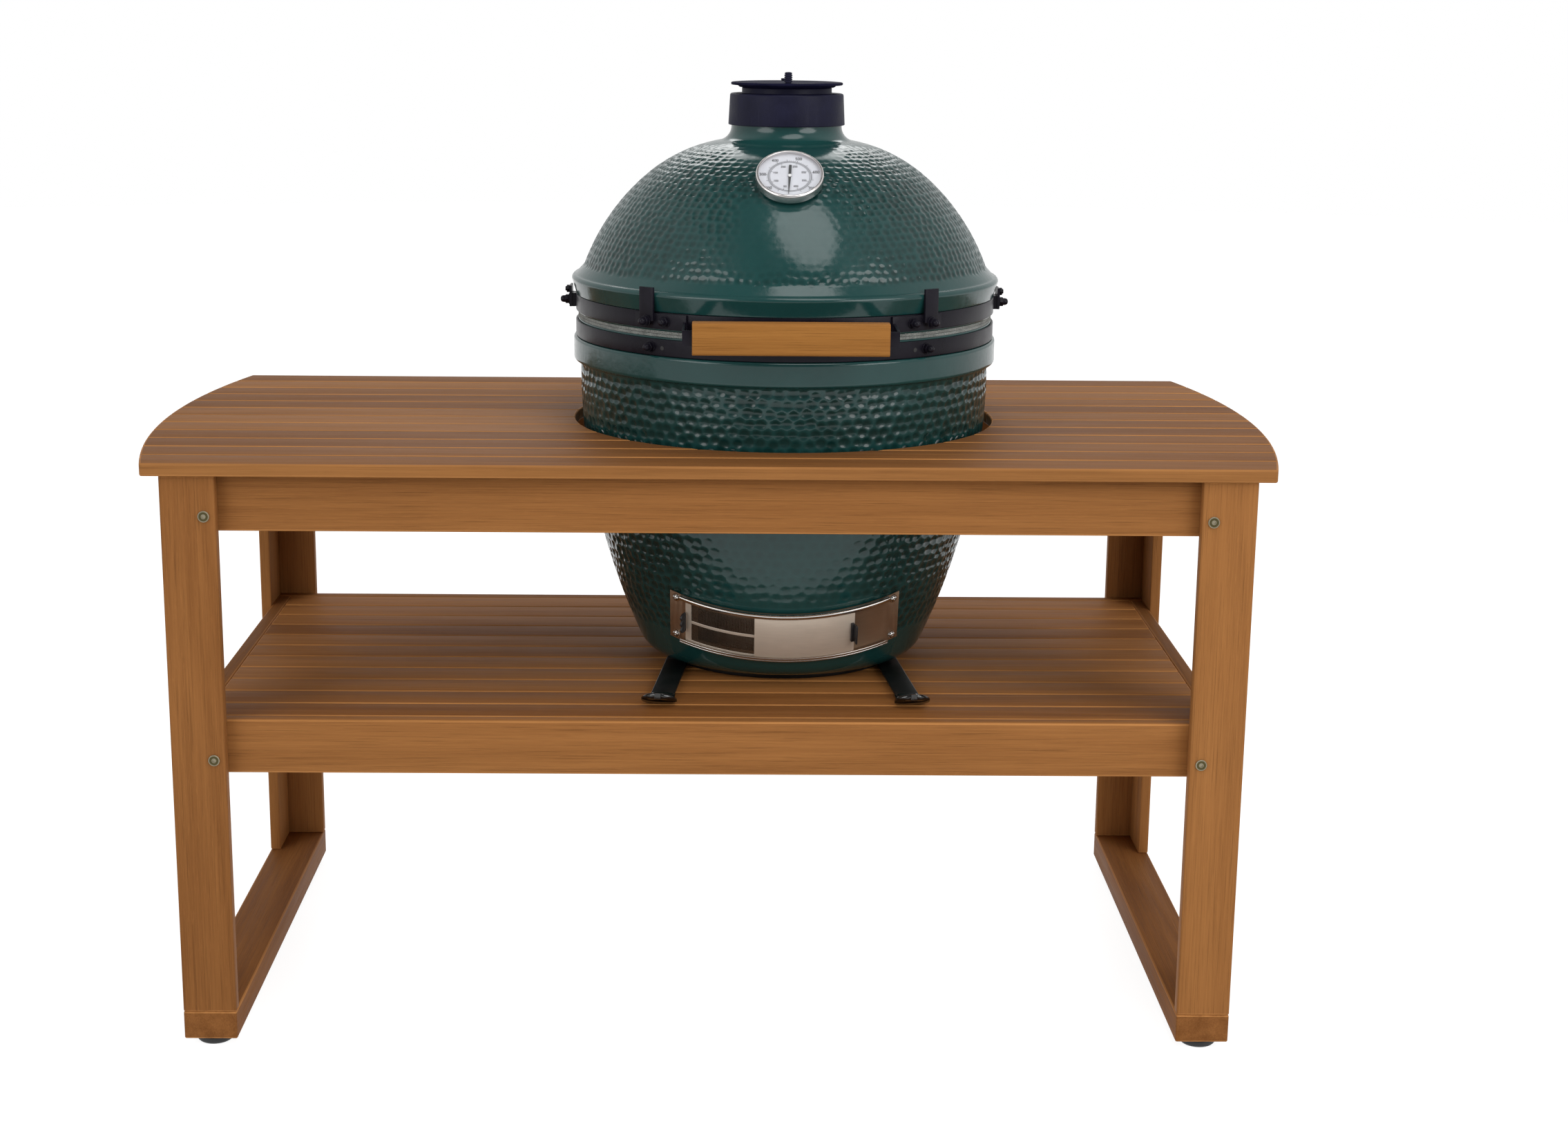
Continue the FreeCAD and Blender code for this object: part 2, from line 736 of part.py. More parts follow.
base_body = turned("base_turned", [
    (0, base_bottom),
    (foot_flat, base_bottom),
    (belly_radius(foot_start), foot_start, foot_round, 1),
    (s.waist_radius, waist, s.belly_arc, 1),
    (s.waist_radius, lip_bottom - s.lip_chamfer),
    (s.base_lip_radius - s.lip_chamfer, lip_bottom - s.lip_chamfer),
    (s.base_lip_radius, lip_bottom),
    (s.base_lip_radius, lip_top - s.lip_chamfer),
    (s.base_lip_radius - s.lip_chamfer, lip_top),
    (s.rim_radius, lip_top),
    (s.rim_radius, base_top),
    (s.rim_bore, base_top),
    inner_wall(0),
    inner_wall(1 / 3),
    inner_wall(2 / 3),
    inner_wall(1),
    (0, floor_height),
])
draft_height = parting - s.draft_drop
draft_surface = belly_radius(draft_height)
draft_tilt = arc_sine((waist - draft_height) / s.belly_arc)
draft_radius = draft_surface / cosine(draft_tilt) + s.draft_standoff
draft_centre = draft_height + draft_surface * sine(draft_tilt) / cosine(draft_tilt)
window_left = draft_radius * sine(s.draft_window_left)
window_right = draft_radius * sine(s.draft_window_right)
draft_hole = base_body.newObject("PartDesign::Pocket", "draft_hole")
draft_hole.Profile = draw_outline(sketch_on(base_body, "XZ_Plane", "draft_hole_outline"), [
    (-window_left, draft_height - s.draft_window_half),
    (window_right, draft_height - s.draft_window_half),
    (window_right, draft_height + s.draft_window_half + s.draft_hole_headroom),
    (-window_left, draft_height + s.draft_window_half + s.draft_hole_headroom),
])
bind(draft_hole, Length=s.waist_radius)
draft_hole.Reversed = True
base_body.Tip = draft_hole
on_kamado(base_body, "base_shell")

# Kamado dome: a low spherical cap that tightens to a shoulder, flares into the neck and ends in the flue

dome_foot = parting + s.dome_foot_rise
dome_centre = dome_foot - root(s.dome_arc * s.dome_arc - s.dome_foot_radius * s.dome_foot_radius)
shoulder = dome_centre + root(s.dome_arc * s.dome_arc - s.shoulder_radius * s.shoulder_radius)
collar = parting + s.collar_rise
neck_foot = parting + s.neck_foot_rise
neck_top = parting + s.neck_top_rise
dome_lip = parting + s.dome_lip_rise
inner_share = (s.dome_arc - s.ceramic_wall) / s.dome_arc
inner_shoulder = s.shoulder_radius * inner_share
inner_shoulder_height = dome_centre + (shoulder - dome_centre) * inner_share
inner_foot_height = dome_lip + s.dome_lip_chamfer
inner_dome_arc = s.dome_arc - s.ceramic_wall
inner_foot = root(inner_dome_arc * inner_dome_arc
                  - (inner_foot_height - dome_centre) * (inner_foot_height - dome_centre))
dome_body = turned("dome_turned", [
    (s.rim_bore, dome_bottom),
    (s.rim_radius, dome_bottom),
    (s.rim_radius, dome_band_high + s.fit_gap),
    (s.dome_lip_foot, dome_band_high + s.fit_gap),
    (s.dome_lip_radius, dome_lip),
    (s.dome_lip_radius - s.dome_lip_chamfer, dome_lip + s.dome_lip_chamfer),
    (s.dome_foot_radius, dome_foot),
    (s.shoulder_radius, shoulder, s.dome_arc, 1),
    (s.collar_radius, collar, s.shoulder_arc, 1),
    (s.neck_radius, neck_foot, s.collar_arc, -1),
    (s.neck_radius, neck_top),
    (s.flue_radius, neck_top),
    (s.flue_radius, collar),
    (s.collar_radius - s.ceramic_wall / 4, collar - s.ceramic_wall),
    (inner_shoulder, inner_shoulder_height),
    (inner_foot, inner_foot_height, inner_dome_arc, -1),
    (s.rim_bore, dome_band_high),
])
dial_turn = 90 - s.dial_elevation


def on_dial(item, rise, x=0, y=0):
    """Stands a piece on the dome, at a height above the ceramic along the thermometer's own axis."""
    reach = s.dome_arc + rise
    return place(item, x, y - reach * cosine(s.dial_elevation), dome_centre + reach * sine(s.dial_elevation),
                 (1, 0, 0), dial_turn)


stem_hole = on_dial(rod("stem_hole", s.dial_stem_radius + s.dial_stem_gap, s.ceramic_wall * 3),
                    -(s.ceramic_wall * 2))
on_kamado(cut("dome_drilled", dome_body, stem_hole), "dome_shell")

# Felt gaskets and steel bands

felt_bore = s.rim_bore + s.felt_inset
felt_outer = s.rim_radius
on_kamado(turned("base_felt", ring_steps(felt_bore, felt_outer, base_top, base_top + s.felt_thickness)),
          "base_gasket")
on_kamado(turned("dome_felt", ring_steps(felt_bore, felt_outer, dome_bottom - s.felt_thickness, dome_bottom)),
          "dome_gasket")
on_kamado(turned("base_strap", ring_steps(band_bore, band_outer, base_band_low, base_band_high)), "base_band")
on_kamado(turned("dome_strap", ring_steps(band_bore, band_outer, dome_band_low, dome_band_high)), "dome_band")

dome_band_middle = (dome_band_low + dome_band_high) / 2
base_band_middle = (base_band_low + base_band_high) / 2
plate_outer = band_outer + s.plate_thickness
hook_inner = s.dome_lip_radius + s.fit_gap
hook_outer = hook_inner + s.plate_thickness
on_kamado(group("dome_nut_set", [
    cap_nut(f"dome_nut_{word}_{place_word}", start, side * angle, dome_band_middle)
    for word, side in (("left", -1), ("right", 1))
    for place_word, start, angle in (("inner", plate_outer, s.band_nut_angle),
                                     ("outer", hook_outer, s.hook_angle))]), "dome_band_nuts")
on_kamado(group("base_nut_set", [
    cap_nut(f"base_nut_{name}", band_outer, side * s.hook_angle, base_band_middle)
    for name, side in (("left", -1), ("right", 1))]), "base_band_nuts")

# Side clamps: an upright lug on each side of the dome band, with a nut on the band's clamp bolt

clamps = []
clamp_low = dome_band_low + s.band_margin * 2
clamp_high = clamp_low + s.side_clamp_height
for word, angle in (("left", -90), ("right", 90)):
    start, end = angle - s.clamp_half_angle, angle + s.clamp_half_angle
    lug = sector(f"clamp_{word}_lug", hook_inner, hook_outer, clamp_low, clamp_high, start, end)
    bridge = sector(f"clamp_{word}_bridge", band_outer, hook_outer, clamp_low, dome_band_high - s.band_margin,
                    start, end)
    low_nut = cap_nut(f"clamp_{word}_low_nut", hook_outer, angle, dome_band_middle)
    bolt = radial_rod(f"clamp_{word}_bolt", s.cap_nut_size / 2, hook_outer - s.weld_overlap, s.cap_nut_height,
                      angle, clamp_high - s.clamp_bolt_drop)
    clamps.append(fuse(f"clamp_{word}", lug, bridge, low_nut, bolt))
on_kamado(group("clamp_set", clamps), "side_clamps")

# Handle: two bent steel brackets on the dome band, with hooks over the dome's lip, and a wooden grip

handle_height = parting + s.handle_rise
handle_face = s.handle_reach + s.handle_depth / 2
half_grip = s.handle_length / 2
arm_x = half_grip + s.arm_offset
arm_front = s.handle_reach + s.arm_thickness / 2
band_root = root(plate_outer * plate_outer - arm_x * arm_x)
hook_half = arc_sine(s.hook_width / 2 / s.dome_lip_radius)


def bracket(word, side):
    """A handle bracket in the kamado's own frame; side is -1 for the left one."""
    plate_ends = (s.plate_start, s.plate_end)
    low_angle, high_angle = plate_ends if side > 0 else (-s.plate_end, -s.plate_start)
    foot = sector(f"foot_{word}", band_outer, plate_outer, dome_band_low + s.band_margin,
                  dome_band_high - s.band_margin, low_angle, high_angle)
    hook_low = side * s.hook_angle - hook_half
    hook = sector(f"hook_{word}", hook_inner, hook_outer, dome_band_middle,
                  parting + s.hook_rise, hook_low, hook_low + hook_half * 2)
    bridge = sector(f"hook_bridge_{word}", band_outer, hook_outer, dome_band_middle,
                    dome_band_high - s.band_margin, hook_low, hook_low + hook_half * 2)
    side_x = arm_x - s.arm_thickness if side > 0 else -arm_x
    arm = box(f"arm_{word}", s.arm_thickness, arm_front - band_root + s.plate_thickness, s.arm_height,
              side_x, -arm_front, handle_height - s.arm_height / 2)
    tongue_x = arm_x - s.arm_offset - s.arm_tongue if side > 0 else -arm_x
    tongue = box(f"tongue_{word}", s.arm_offset + s.arm_tongue, s.arm_thickness, s.arm_height,
                 tongue_x, -arm_front, handle_height - s.arm_height / 2)
    band_space = rod(f"bracket_{word}_band_space", band_outer + s.hinge_bore_gap / 2, s.hook_rise * 2,
                     z=dome_band_low - s.hook_rise)
    joined = fuse(f"bracket_{word}_joined", foot, hook, bridge, arm, tongue)
    return cut(f"bracket_{word}", joined, band_space)


on_kamado(bracket("left", -1), "handle_bracket_left")
on_kamado(bracket("right", 1), "handle_bracket_right")

grip = doc.addObject("PartDesign::Body", "grip")
grip_pad = grip.newObject("PartDesign::Pad", "grip_pad")
grip_low = handle_height - s.handle_height / 2
grip_high = handle_height + s.handle_height / 2
grip_near = -(s.handle_reach - s.handle_depth / 2)
grip_far = -handle_face
grip_pad.Profile = draw_outline(sketch_on(grip, "YZ_Plane", "grip_section"), [
    (grip_near - s.handle_round, grip_low),
    (grip_near, grip_low + s.handle_round, s.handle_round, 1),
    (grip_near, grip_high - s.handle_round),
    (grip_near - s.handle_round, grip_high, s.handle_round, 1),
    (grip_far + s.handle_round, grip_high),
    (grip_far, grip_high - s.handle_round, s.handle_round, 1),
    (grip_far, grip_low + s.handle_round),
    (grip_far + s.handle_round, grip_low, s.handle_round, 1),
])
grip_pad.Midplane = True
bind(grip_pad, Length=s.handle_length)
grip.Tip = grip_pad
slot_depth = s.arm_tongue + s.fit_gap
slot_width = s.arm_thickness + s.fit_gap * 2
slot_height = s.arm_height + s.fit_gap * 2
slots = [box(f"grip_slot_{word}", slot_depth + s.cut_margin, slot_width, slot_height,
             x, -arm_front - s.fit_gap, handle_height - slot_height / 2)
         for word, x in (("left", -half_grip - s.cut_margin), ("right", half_grip - slot_depth))]
on_kamado(cut("grip_slotted", grip, *slots), "handle_grip")

# Rear hinge: two bracket pairs on one pin, with a lift spring wound round the pin at each end

# the eye's arc is a hair wider than a half circle's, so that its two ends lie on one shorter arc
EYE_SLACK = 1.001
pin_height = parting
eye = s.hinge_eye_radius
pin_bore = s.hinge_pin_radius + s.hinge_bore_gap
root_reach = root(band_outer * band_outer - s.hinge_half_width * s.hinge_half_width)


def ear(name, x, low, high):
    """A hinge ear in the plane across the pin, rounded about the pin and long enough to meet its band."""
    body = doc.addObject("PartDesign::Body", name)
    pad = body.newObject("PartDesign::Pad", name + "_pad")
    level = (as_size(low) + high) / 2
    rise = 1 if level.value > pin_height.value else -1
    far_side = high if rise > 0 else low
    near_side = low if rise > 0 else high
    steps = [
        (root_reach, near_side),
        (s.hinge_reach, pin_height - eye * rise),
        (s.hinge_reach, pin_height + eye * rise, eye * EYE_SLACK, 1 if rise > 0 else -1),
        (root_reach, far_side),
    ]
    pad.Profile = draw_outline(sketch_on(body, "YZ_Plane", name + "_outline"), steps)
    pad.Midplane = True
    bind(pad, Length=s.hinge_plate)
    body.Tip = pad
    return place(body, x, 0, 0)


def hinge_bracket(word, half_width, low, high):
    """Two ears joined by a web that follows the band, all bored for the pin."""
    ear_x = half_width - s.hinge_plate / 2
    ears = [ear(f"{word}_ear_{side}", x, low, high) for side, x in (("left", -ear_x), ("right", ear_x))]
    spread = arc_sine(half_width / band_outer)
    web = sector(word + "_web", band_outer, plate_outer, low, high, 180 - spread, 180 + spread)
    whole = fuse(word + "_joined", *ears, web)
    band_space = rod(word + "_band_space", band_outer, s.band_height * 3, z=as_size(low) - s.band_height)
    bore = rod(word + "_bore", pin_bore, (half_width + s.cut_margin) * 2, -half_width - s.cut_margin,
               s.hinge_reach, pin_height, (0, 1, 0), 90)
    return cut(word + "_cut", whole, band_space, bore)


inner_half = s.hinge_half_width - s.hinge_plate - s.hinge_side_gap
on_kamado(hinge_bracket("lower_hinge", s.hinge_half_width, base_band_low + s.band_margin,
                        base_band_high - s.band_margin), "hinge_lower_bracket")
on_kamado(hinge_bracket("upper_hinge", inner_half, dome_band_low + s.band_margin,
                        dome_band_high - s.band_margin), "hinge_upper_bracket")
pin_half = s.hinge_half_width + s.hinge_plate
pin = rod("pin_bar", s.hinge_pin_radius, pin_half * 2, -pin_half, s.hinge_reach, pin_height, (0, 1, 0), 90)
head_side = s.hinge_half_width + s.fit_gap
pin_heads = [rod(f"pin_head_{word}", s.hinge_pin_radius + s.pin_head_height, s.pin_head_height,
                 x, s.hinge_reach, pin_height, (0, 1, 0), 90)
             for word, x in (("left", -head_side - s.pin_head_height), ("right", head_side))]
on_kamado(fuse("pin_joined", pin, *pin_heads), "hinge_pin")


def half_way(start, control, end):
    """The point half way along the arc that leaves start towards control and arrives at end from it."""
    weight = (end - start).Length / 2 / (control - start).Length
    return (start + control * (2 * weight) + end) * (1 / (2 + 2 * weight))


def wire_section(centre, way, radius):
    """A section with as much area as round wire, across a way at a point."""
    across = way.cross(FreeCAD.Vector(1, 0, 0)).normalize()
    beside = way.cross(across)
    turn = 2 * math.pi / WIRE_SIDES
    reach = radius * math.sqrt(turn / math.sin(turn))
    corners = [centre + (across * math.cos(turn * k) + beside * math.sin(turn * k)) * reach
               for k in range(WIRE_SIDES)]
    return Part.makePolygon(corners + corners[:1])


def wound_spring(side, name):
    """A lift spring about the pin as one tube: the upper leg, the turns as biarcs, and the lower leg."""
    radius = s.spring_radius.value
    pitch = s.spring_pitch.value * side
    step = math.pi
    axis = FreeCAD.Vector(0, s.hinge_reach.value, pin_height.value)
    start_x = s.spring_centre.value * side - pitch * SPRING_TURNS / 2

    def coil_point(angle):
        return axis + FreeCAD.Vector(start_x + pitch * angle / (2 * math.pi),
                                     radius * math.sin(angle), radius * math.cos(angle))

    def coil_way(angle):
        way = FreeCAD.Vector(pitch / (2 * math.pi), radius * math.cos(angle), -radius * math.sin(angle))
        return way.normalize()

    first = 0.0
    last = (2 * SPRING_TURNS + 1) * math.pi
    leg_start = coil_point(first) - coil_way(first) * s.spring_upper_leg.value
    edges = [Part.LineSegment(leg_start, coil_point(first))]
    angle = first
    while angle < last - 1e-9:
        a, b = coil_point(angle), coil_point(angle + step)
        way_out, way_in = coil_way(angle), coil_way(angle + step)
        chord = b - a
        both = way_out + way_in
        spread = 2 * (1 - way_out.dot(way_in))
        reach = (-chord.dot(both) + math.sqrt(chord.dot(both) ** 2 + spread * chord.dot(chord))) / spread
        near = a + way_out * reach
        far = b - way_in * reach
        middle = (near + far) * 0.5
        edges.append(Part.Arc(a, half_way(a, near, middle), middle))
        edges.append(Part.Arc(middle, half_way(middle, far, b), b))
        angle += step
    leg_end = coil_point(last) + coil_way(last) * s.spring_lower_leg.value
    edges.append(Part.LineSegment(coil_point(last), leg_end))
    path = Part.Wire([edge.toShape() for edge in edges])
    profile = wire_section(leg_start, coil_way(first), s.spring_wire.value / 2)
    tube = path.makePipeShell([profile], True, False)
    points = path.discretize(Distance=SPRING_SAMPLE)
    apart = int(math.pi * s.spring_wire.value / SPRING_SAMPLE)
    clear = min((points[i] - points[j]).Length
                for i in range(len(points)) for j in range(i + apart, len(points)))
    print(f"{name}: least gap to itself {clear - s.spring_wire.value:.2f} mm, "
          f"volume {tube.Volume:.1f} against {path.Length * math.pi * s.spring_wire.value ** 2 / 4:.1f}")
    return tube


springs = [wound_spring(side, f"lift spring {word}")
           for word, side in (("left", -1), ("right", 1))]
spring_pair = doc.addObject("Part::Feature", "spring_pair")
spring_pair.Shape = Part.makeCompound(springs)
spring_pair.Placement = FreeCAD.Placement(FreeCAD.Vector(s.kamado_x.value, s.kamado_y.value, 0),
                                          FreeCAD.Rotation())
finished(spring_pair, "lift_springs")

# Fire box, grate, fire ring and cooking grid

box_foot = floor_height + s.fit_gap
box_top = box_foot + s.fire_box_height
fire_bowl = turned("fire_bowl", [
    (0, box_foot),
    (s.fire_box_foot, box_foot),
    (s.fire_box_top, box_top),
    (s.fire_box_top - s.fire_box_wall, box_top),
    (s.grate_radius + s.fit_gap, box_foot + s.grate_rise + s.grate_thickness),
    (s.grate_radius + s.fit_gap, box_foot + s.grate_rise),
    (s.grate_radius - s.fire_box_wall / 2, box_foot + s.grate_rise),
    (s.grate_radius - s.fire_box_wall / 2, box_foot + s.fire_box_wall),
    (0, box_foot + s.fire_box_wall),
])
ash_door = box("ash_door", window_left + window_right, s.fire_box_top, s.ash_door_height,
               -window_left, -s.fire_box_top, box_foot + s.fire_box_wall)
on_kamado(cut("fire_bowl_open", fire_bowl, ash_door), "fire_box")
ring_foot = box_top + s.fit_gap
ring_top = ring_foot + s.fire_ring_height
on_kamado(turned("fire_collar", [
    (s.fire_box_top - s.fire_box_wall, ring_foot),
    (s.fire_box_top, ring_foot),
    (s.fire_ring_top, ring_top),
    (s.fire_ring_top - s.fire_box_wall, ring_top),
]), "fire_ring")

grate = doc.addObject("PartDesign::Body", "grate")
grate_foot = box_foot + s.grate_rise + s.fit_gap
grate_pad = grate.newObject("PartDesign::Pad", "grate_disc")
grate_sketch = sketch_on(grate, "XY_Plane", "grate_outline", grate_foot)
grate_sketch.addGeometry(Part.Circle(FreeCAD.Vector(), FreeCAD.Vector(0, 0, 1), s.grate_radius.value), False)
grate_sketch.addConstraint(Sketcher.Constraint("Coincident", 0, 3, -1, 1))
grate_edge = grate_sketch.addConstraint(Sketcher.Constraint("Radius", 0, s.grate_radius.value))
grate_sketch.setExpression(f"Constraints[{grate_edge}]", s.grate_radius.text)
grate_pad.Profile = grate_sketch
bind(grate_pad, Length=s.grate_thickness - s.fit_gap)
for number, (reach, count) in enumerate(((s.grate_inner_ring, GRATE_INNER_HOLES),
                                         (s.grate_outer_ring, GRATE_OUTER_HOLES)), start=1):
    hole_sketch = sketch_on(grate, "XY_Plane", f"grate_hole_{number}", grate_foot)
    hole_sketch.addGeometry(Part.Circle(FreeCAD.Vector(reach.value, 0, 0), FreeCAD.Vector(0, 0, 1),
                                        s.grate_hole.value), False)
    hole_sketch.addConstraint(Sketcher.Constraint("PointOnObject", 0, 3, -1))
    away = hole_sketch.addConstraint(Sketcher.Constraint("DistanceX", -1, 1, 0, 3, reach.value))
    hole_sketch.setExpression(f"Constraints[{away}]", reach.text)
    edge = hole_sketch.addConstraint(Sketcher.Constraint("Radius", 0, s.grate_hole.value))
    hole_sketch.setExpression(f"Constraints[{edge}]", s.grate_hole.text)
    drill = grate.newObject("PartDesign::Pocket", f"grate_drill_{number}")
    drill.Profile = hole_sketch
    drill.Reversed = True
    bind(drill, Length=s.grate_thickness)
    doc.recompute()
    pattern = grate.newObject("PartDesign::PolarPattern", f"grate_ring_{number}")
    pattern.Originals = [drill]
    pattern.Axis = (plane_of(grate, "Z_Axis"), [""])
    pattern.Angle = 360
    pattern.Occurrences = count
    grate.Tip = pattern
on_kamado(grate, "fire_grate")

grid_height = ring_top + s.fit_gap + s.grid_wire / 2
grid_low = grid_height - s.grid_wire / 2
grid_bore = s.grid_radius - s.grid_wire
grid_rim = turned("grid_rim", ring_steps(grid_bore, s.grid_radius, grid_low, grid_low + s.grid_wire))
cross_reach = s.fire_ring_top - s.fire_box_wall - s.grid_cross_gap
grid_rods = []


def grid_bar(name, length, x, y, z, axis, angle):
    """A bar of the grid, drawn with few sides."""
    item = doc.addObject("Part::Prism", name)
    item.Polygon = WIRE_SIDES
    bind(item, Circumradius=s.grid_bar / 2, Height=length)
    return place(item, x, y, z, axis, angle)


for index in range(GRID_BARS):
    offset = s.grid_pitch * (index - (GRID_BARS - 1) / 2)
    half_bar = root(s.grid_radius * s.grid_radius - offset * offset)
    grid_rods.append(grid_bar(f"grid_bar_{index + 1}", half_bar * 2, offset, -half_bar, grid_height,
                              (1, 0, 0), -90))
for index, offset in enumerate((-s.grid_radius / 2, s.grid_radius / 2), start=1):
    half_bar = root(cross_reach * cross_reach - offset * offset)
    grid_rods.append(grid_bar(f"grid_cross_{index}", half_bar * 2, -half_bar, offset,
                              grid_height - s.grid_bar, (0, 1, 0), 90))
grid_space = rod("grid_space", grid_bore, s.grid_wire * 3, z=grid_low - s.grid_wire)
grid_bars = boolean("Common", "grid_bars", group("grid_rod_set", grid_rods), grid_space)
on_kamado(group("grid_pieces", [grid_rim, grid_bars]), "cooking_grid")

# Draft door: a curved steel frame with rolled tracks, a screen door and a solid door that slide in them.
# Its pieces are made about the track's own upright axis and then leaned back to the slope of the base.

plate_in = draft_radius
plate_out = plate_in + s.draft_sheet
screen_in = plate_out + s.draft_slip
screen_out = screen_in + s.door_sheet
solid_in = screen_out + s.draft_slip
solid_out = solid_in + s.door_sheet
lip_in = solid_out + s.draft_slip
lip_out = lip_in + s.draft_sheet
half_plate = s.draft_half_height
half_door = half_plate - s.draft_sheet - s.draft_slip


def on_draft(item, label):
    place(item, s.kamado_x, s.kamado_y, draft_centre, (1, 0, 0), draft_tilt)
    return finished(item, label)


frame_plate = sector("draft_plate", plate_in, plate_out, -half_plate, half_plate,
                     -s.draft_half_angle, s.draft_half_angle)
frame_window = sector("draft_window", plate_in - s.cut_margin, plate_out + s.cut_margin,
                      -s.draft_window_half, s.draft_window_half, -s.draft_window_left, s.draft_window_right)
tracks = []
for word, side in (("top", 1), ("bottom", -1)):
    web_low = half_plate - s.draft_sheet if side > 0 else -half_plate
    lip_low = half_plate - s.draft_lip if side > 0 else -half_plate
    tracks.append(sector(f"track_{word}_web", plate_in, lip_out, web_low, web_low + s.draft_sheet,
                         -s.draft_track_angle, s.draft_track_angle))
    tracks.append(sector(f"track_{word}_lip", lip_in, lip_out, lip_low, lip_low + s.draft_lip,
                         -s.draft_track_angle, s.draft_track_angle))
screw_angle = (s.draft_half_angle + s.draft_track_angle) / 2
screw_height = half_plate - s.draft_screw_head - s.draft_screw_edge
screw_places = [(x * screw_angle, z * screw_height) for x in (-1, 1) for z in (-1, 1)]
screw_holes = [radial_rod(f"screw_hole_{index}", s.draft_screw_radius + s.bolt_slack,
                          plate_in - s.draft_sheet, s.draft_sheet * 3, angle, z)
               for index, (angle, z) in enumerate(screw_places, start=1)]
frame_joined = fuse("draft_frame_joined", cut("draft_plate_open", frame_plate, frame_window), *tracks)
on_draft(cut("draft_frame_cut", frame_joined, *screw_holes), "draft_frame")

screen_sheet = sector("screen_sheet", screen_in, screen_out, -half_door, half_door,
                      -s.screen_left, s.screen_right)
panes = []
pane_left = -(s.screen_left - s.screen_border)
pane_right = s.screen_right - s.screen_border / 3
pane_step = (pane_right - pane_left) / SCREEN_COLUMNS
pane_height = (s.screen_half_window - s.screen_bar / 2) / SCREEN_ROWS
for half in (-1, 1):
    for row in range(SCREEN_ROWS):
        low = half * s.screen_bar / 2 + (pane_height * row if half > 0 else -(pane_height * (row + 1)))
        for column in range(SCREEN_COLUMNS):
            start = pane_left + pane_step * column
            panes.append(box_between(f"pane_{half + 1}_{row}_{column}",
                                     screen_in - s.cut_margin * 2, screen_out + s.cut_margin * 2,
                                     start + s.mesh_wire, start + pane_step - s.mesh_wire,
                                     low + s.mesh_wire / 2, low + pane_height - s.mesh_wire / 2))
screen_tab = sector("screen_tab", screen_out - s.weld_overlap, lip_out + s.tab_reach,
                    -s.tab_height / 2, s.tab_height / 2, -s.screen_left, -s.screen_left + s.tab_angle)
on_draft(fuse("screen_joined", cut("screen_open", screen_sheet, *panes), screen_tab), "draft_screen_door")

solid_sheet = sector("solid_sheet", solid_in, solid_out, -half_door, half_door, -s.solid_left, s.solid_right)
solid_tab = sector("solid_tab", solid_out - s.weld_overlap, lip_out + s.tab_reach,
                   -s.tab_height / 2, s.tab_height / 2, s.solid_right - s.tab_angle, s.solid_right)
on_draft(fuse("solid_joined", solid_sheet, solid_tab), "draft_solid_door")

screws = []
for index, (angle, z) in enumerate(screw_places, start=1):
    head = radial_rod(f"screw_head_{index}", s.draft_screw_head, plate_out, s.draft_screw_radius, angle, z)
    shank = radial_rod(f"screw_shank_{index}", s.draft_screw_radius, plate_out - s.draft_screw_length,
                       s.draft_screw_length + s.draft_sheet / 2, angle, z)
    screws.append(fuse(f"screw_{index}", head, shank))
on_draft(group("screw_set", screws), "draft_screws")

# Thermometer: a shallow case on the dome's front, with its stem through the ceramic


def thermometer(item, rise, label):
    return finished(on_dial(item, rise, s.kamado_x, s.kamado_y), label)


case_inner = s.dial_case_radius - s.dial_wall
case_top = s.dial_case_depth
thermometer(turned("dial_case", [
    (s.dial_stem_radius + s.fit_gap, 0),
    (s.dial_case_radius - s.dial_chamfer, 0),
    (s.dial_case_radius, s.dial_chamfer),
    (s.dial_case_radius, case_top - s.dial_chamfer / 2),
    (s.dial_case_radius - s.dial_chamfer / 2, case_top),
    (s.dial_case_radius - s.dial_bezel, case_top),
    (s.dial_case_radius - s.dial_bezel, s.lens_rise + s.lens_thickness + s.fit_gap / 3),
    (case_inner, s.lens_rise + s.lens_thickness + s.fit_gap / 3),
    (case_inner, s.dial_wall),
    (s.dial_stem_radius + s.fit_gap, s.dial_wall),
]), s.dial_standoff, "thermometer_case")
thermometer(turned("dial_face", ring_steps(s.needle_pivot + s.fit_gap, case_inner - s.fit_gap / 3,
                                           s.dial_plate_rise, s.dial_plate_rise + s.dial_plate)),
            s.dial_standoff, "thermometer_dial")
thermometer(turned("dial_lens", [
    (0, s.lens_rise),
    (case_inner - s.fit_gap / 3, s.lens_rise),
    (case_inner - s.fit_gap / 3, s.lens_rise + s.lens_thickness),
    (0, s.lens_rise + s.lens_thickness),
]), s.dial_standoff, "thermometer_lens")
thermometer(turned("dial_stem", [
    (0, -s.dial_stem_length),
    (s.dial_stem_radius - s.dial_stem_tip / 3, -s.dial_stem_length),
    (s.dial_stem_radius, s.dial_stem_tip - s.dial_stem_length),
    (s.dial_stem_radius, s.dial_wall),
    (s.dial_stem_radius + s.dial_stem_collar, s.dial_wall),
    (s.dial_stem_radius + s.dial_stem_collar, s.dial_plate_rise - s.fit_gap),
    (s.needle_pivot, s.dial_plate_rise - s.fit_gap),
    (s.needle_pivot, s.needle_rise + s.needle_thickness + s.dial_pivot_stub),
    (0, s.needle_rise + s.needle_thickness + s.dial_pivot_stub),
]), s.dial_standoff, "thermometer_stem")
needle_hub = rod("needle_hub", s.needle_hub, s.needle_thickness)
needle_arm = padded("needle_arm", "XY_Plane", [
    (-s.needle_width / 2, 0),
    (-s.needle_width / 2, -s.needle_tail),
    (s.needle_width / 2, -s.needle_tail),
    (s.needle_width / 2, 0),
    (s.needle_tip, s.needle_length),
    (-s.needle_tip, s.needle_length),
], s.needle_thickness)
place(needle_arm, z=s.needle_thickness / 2)
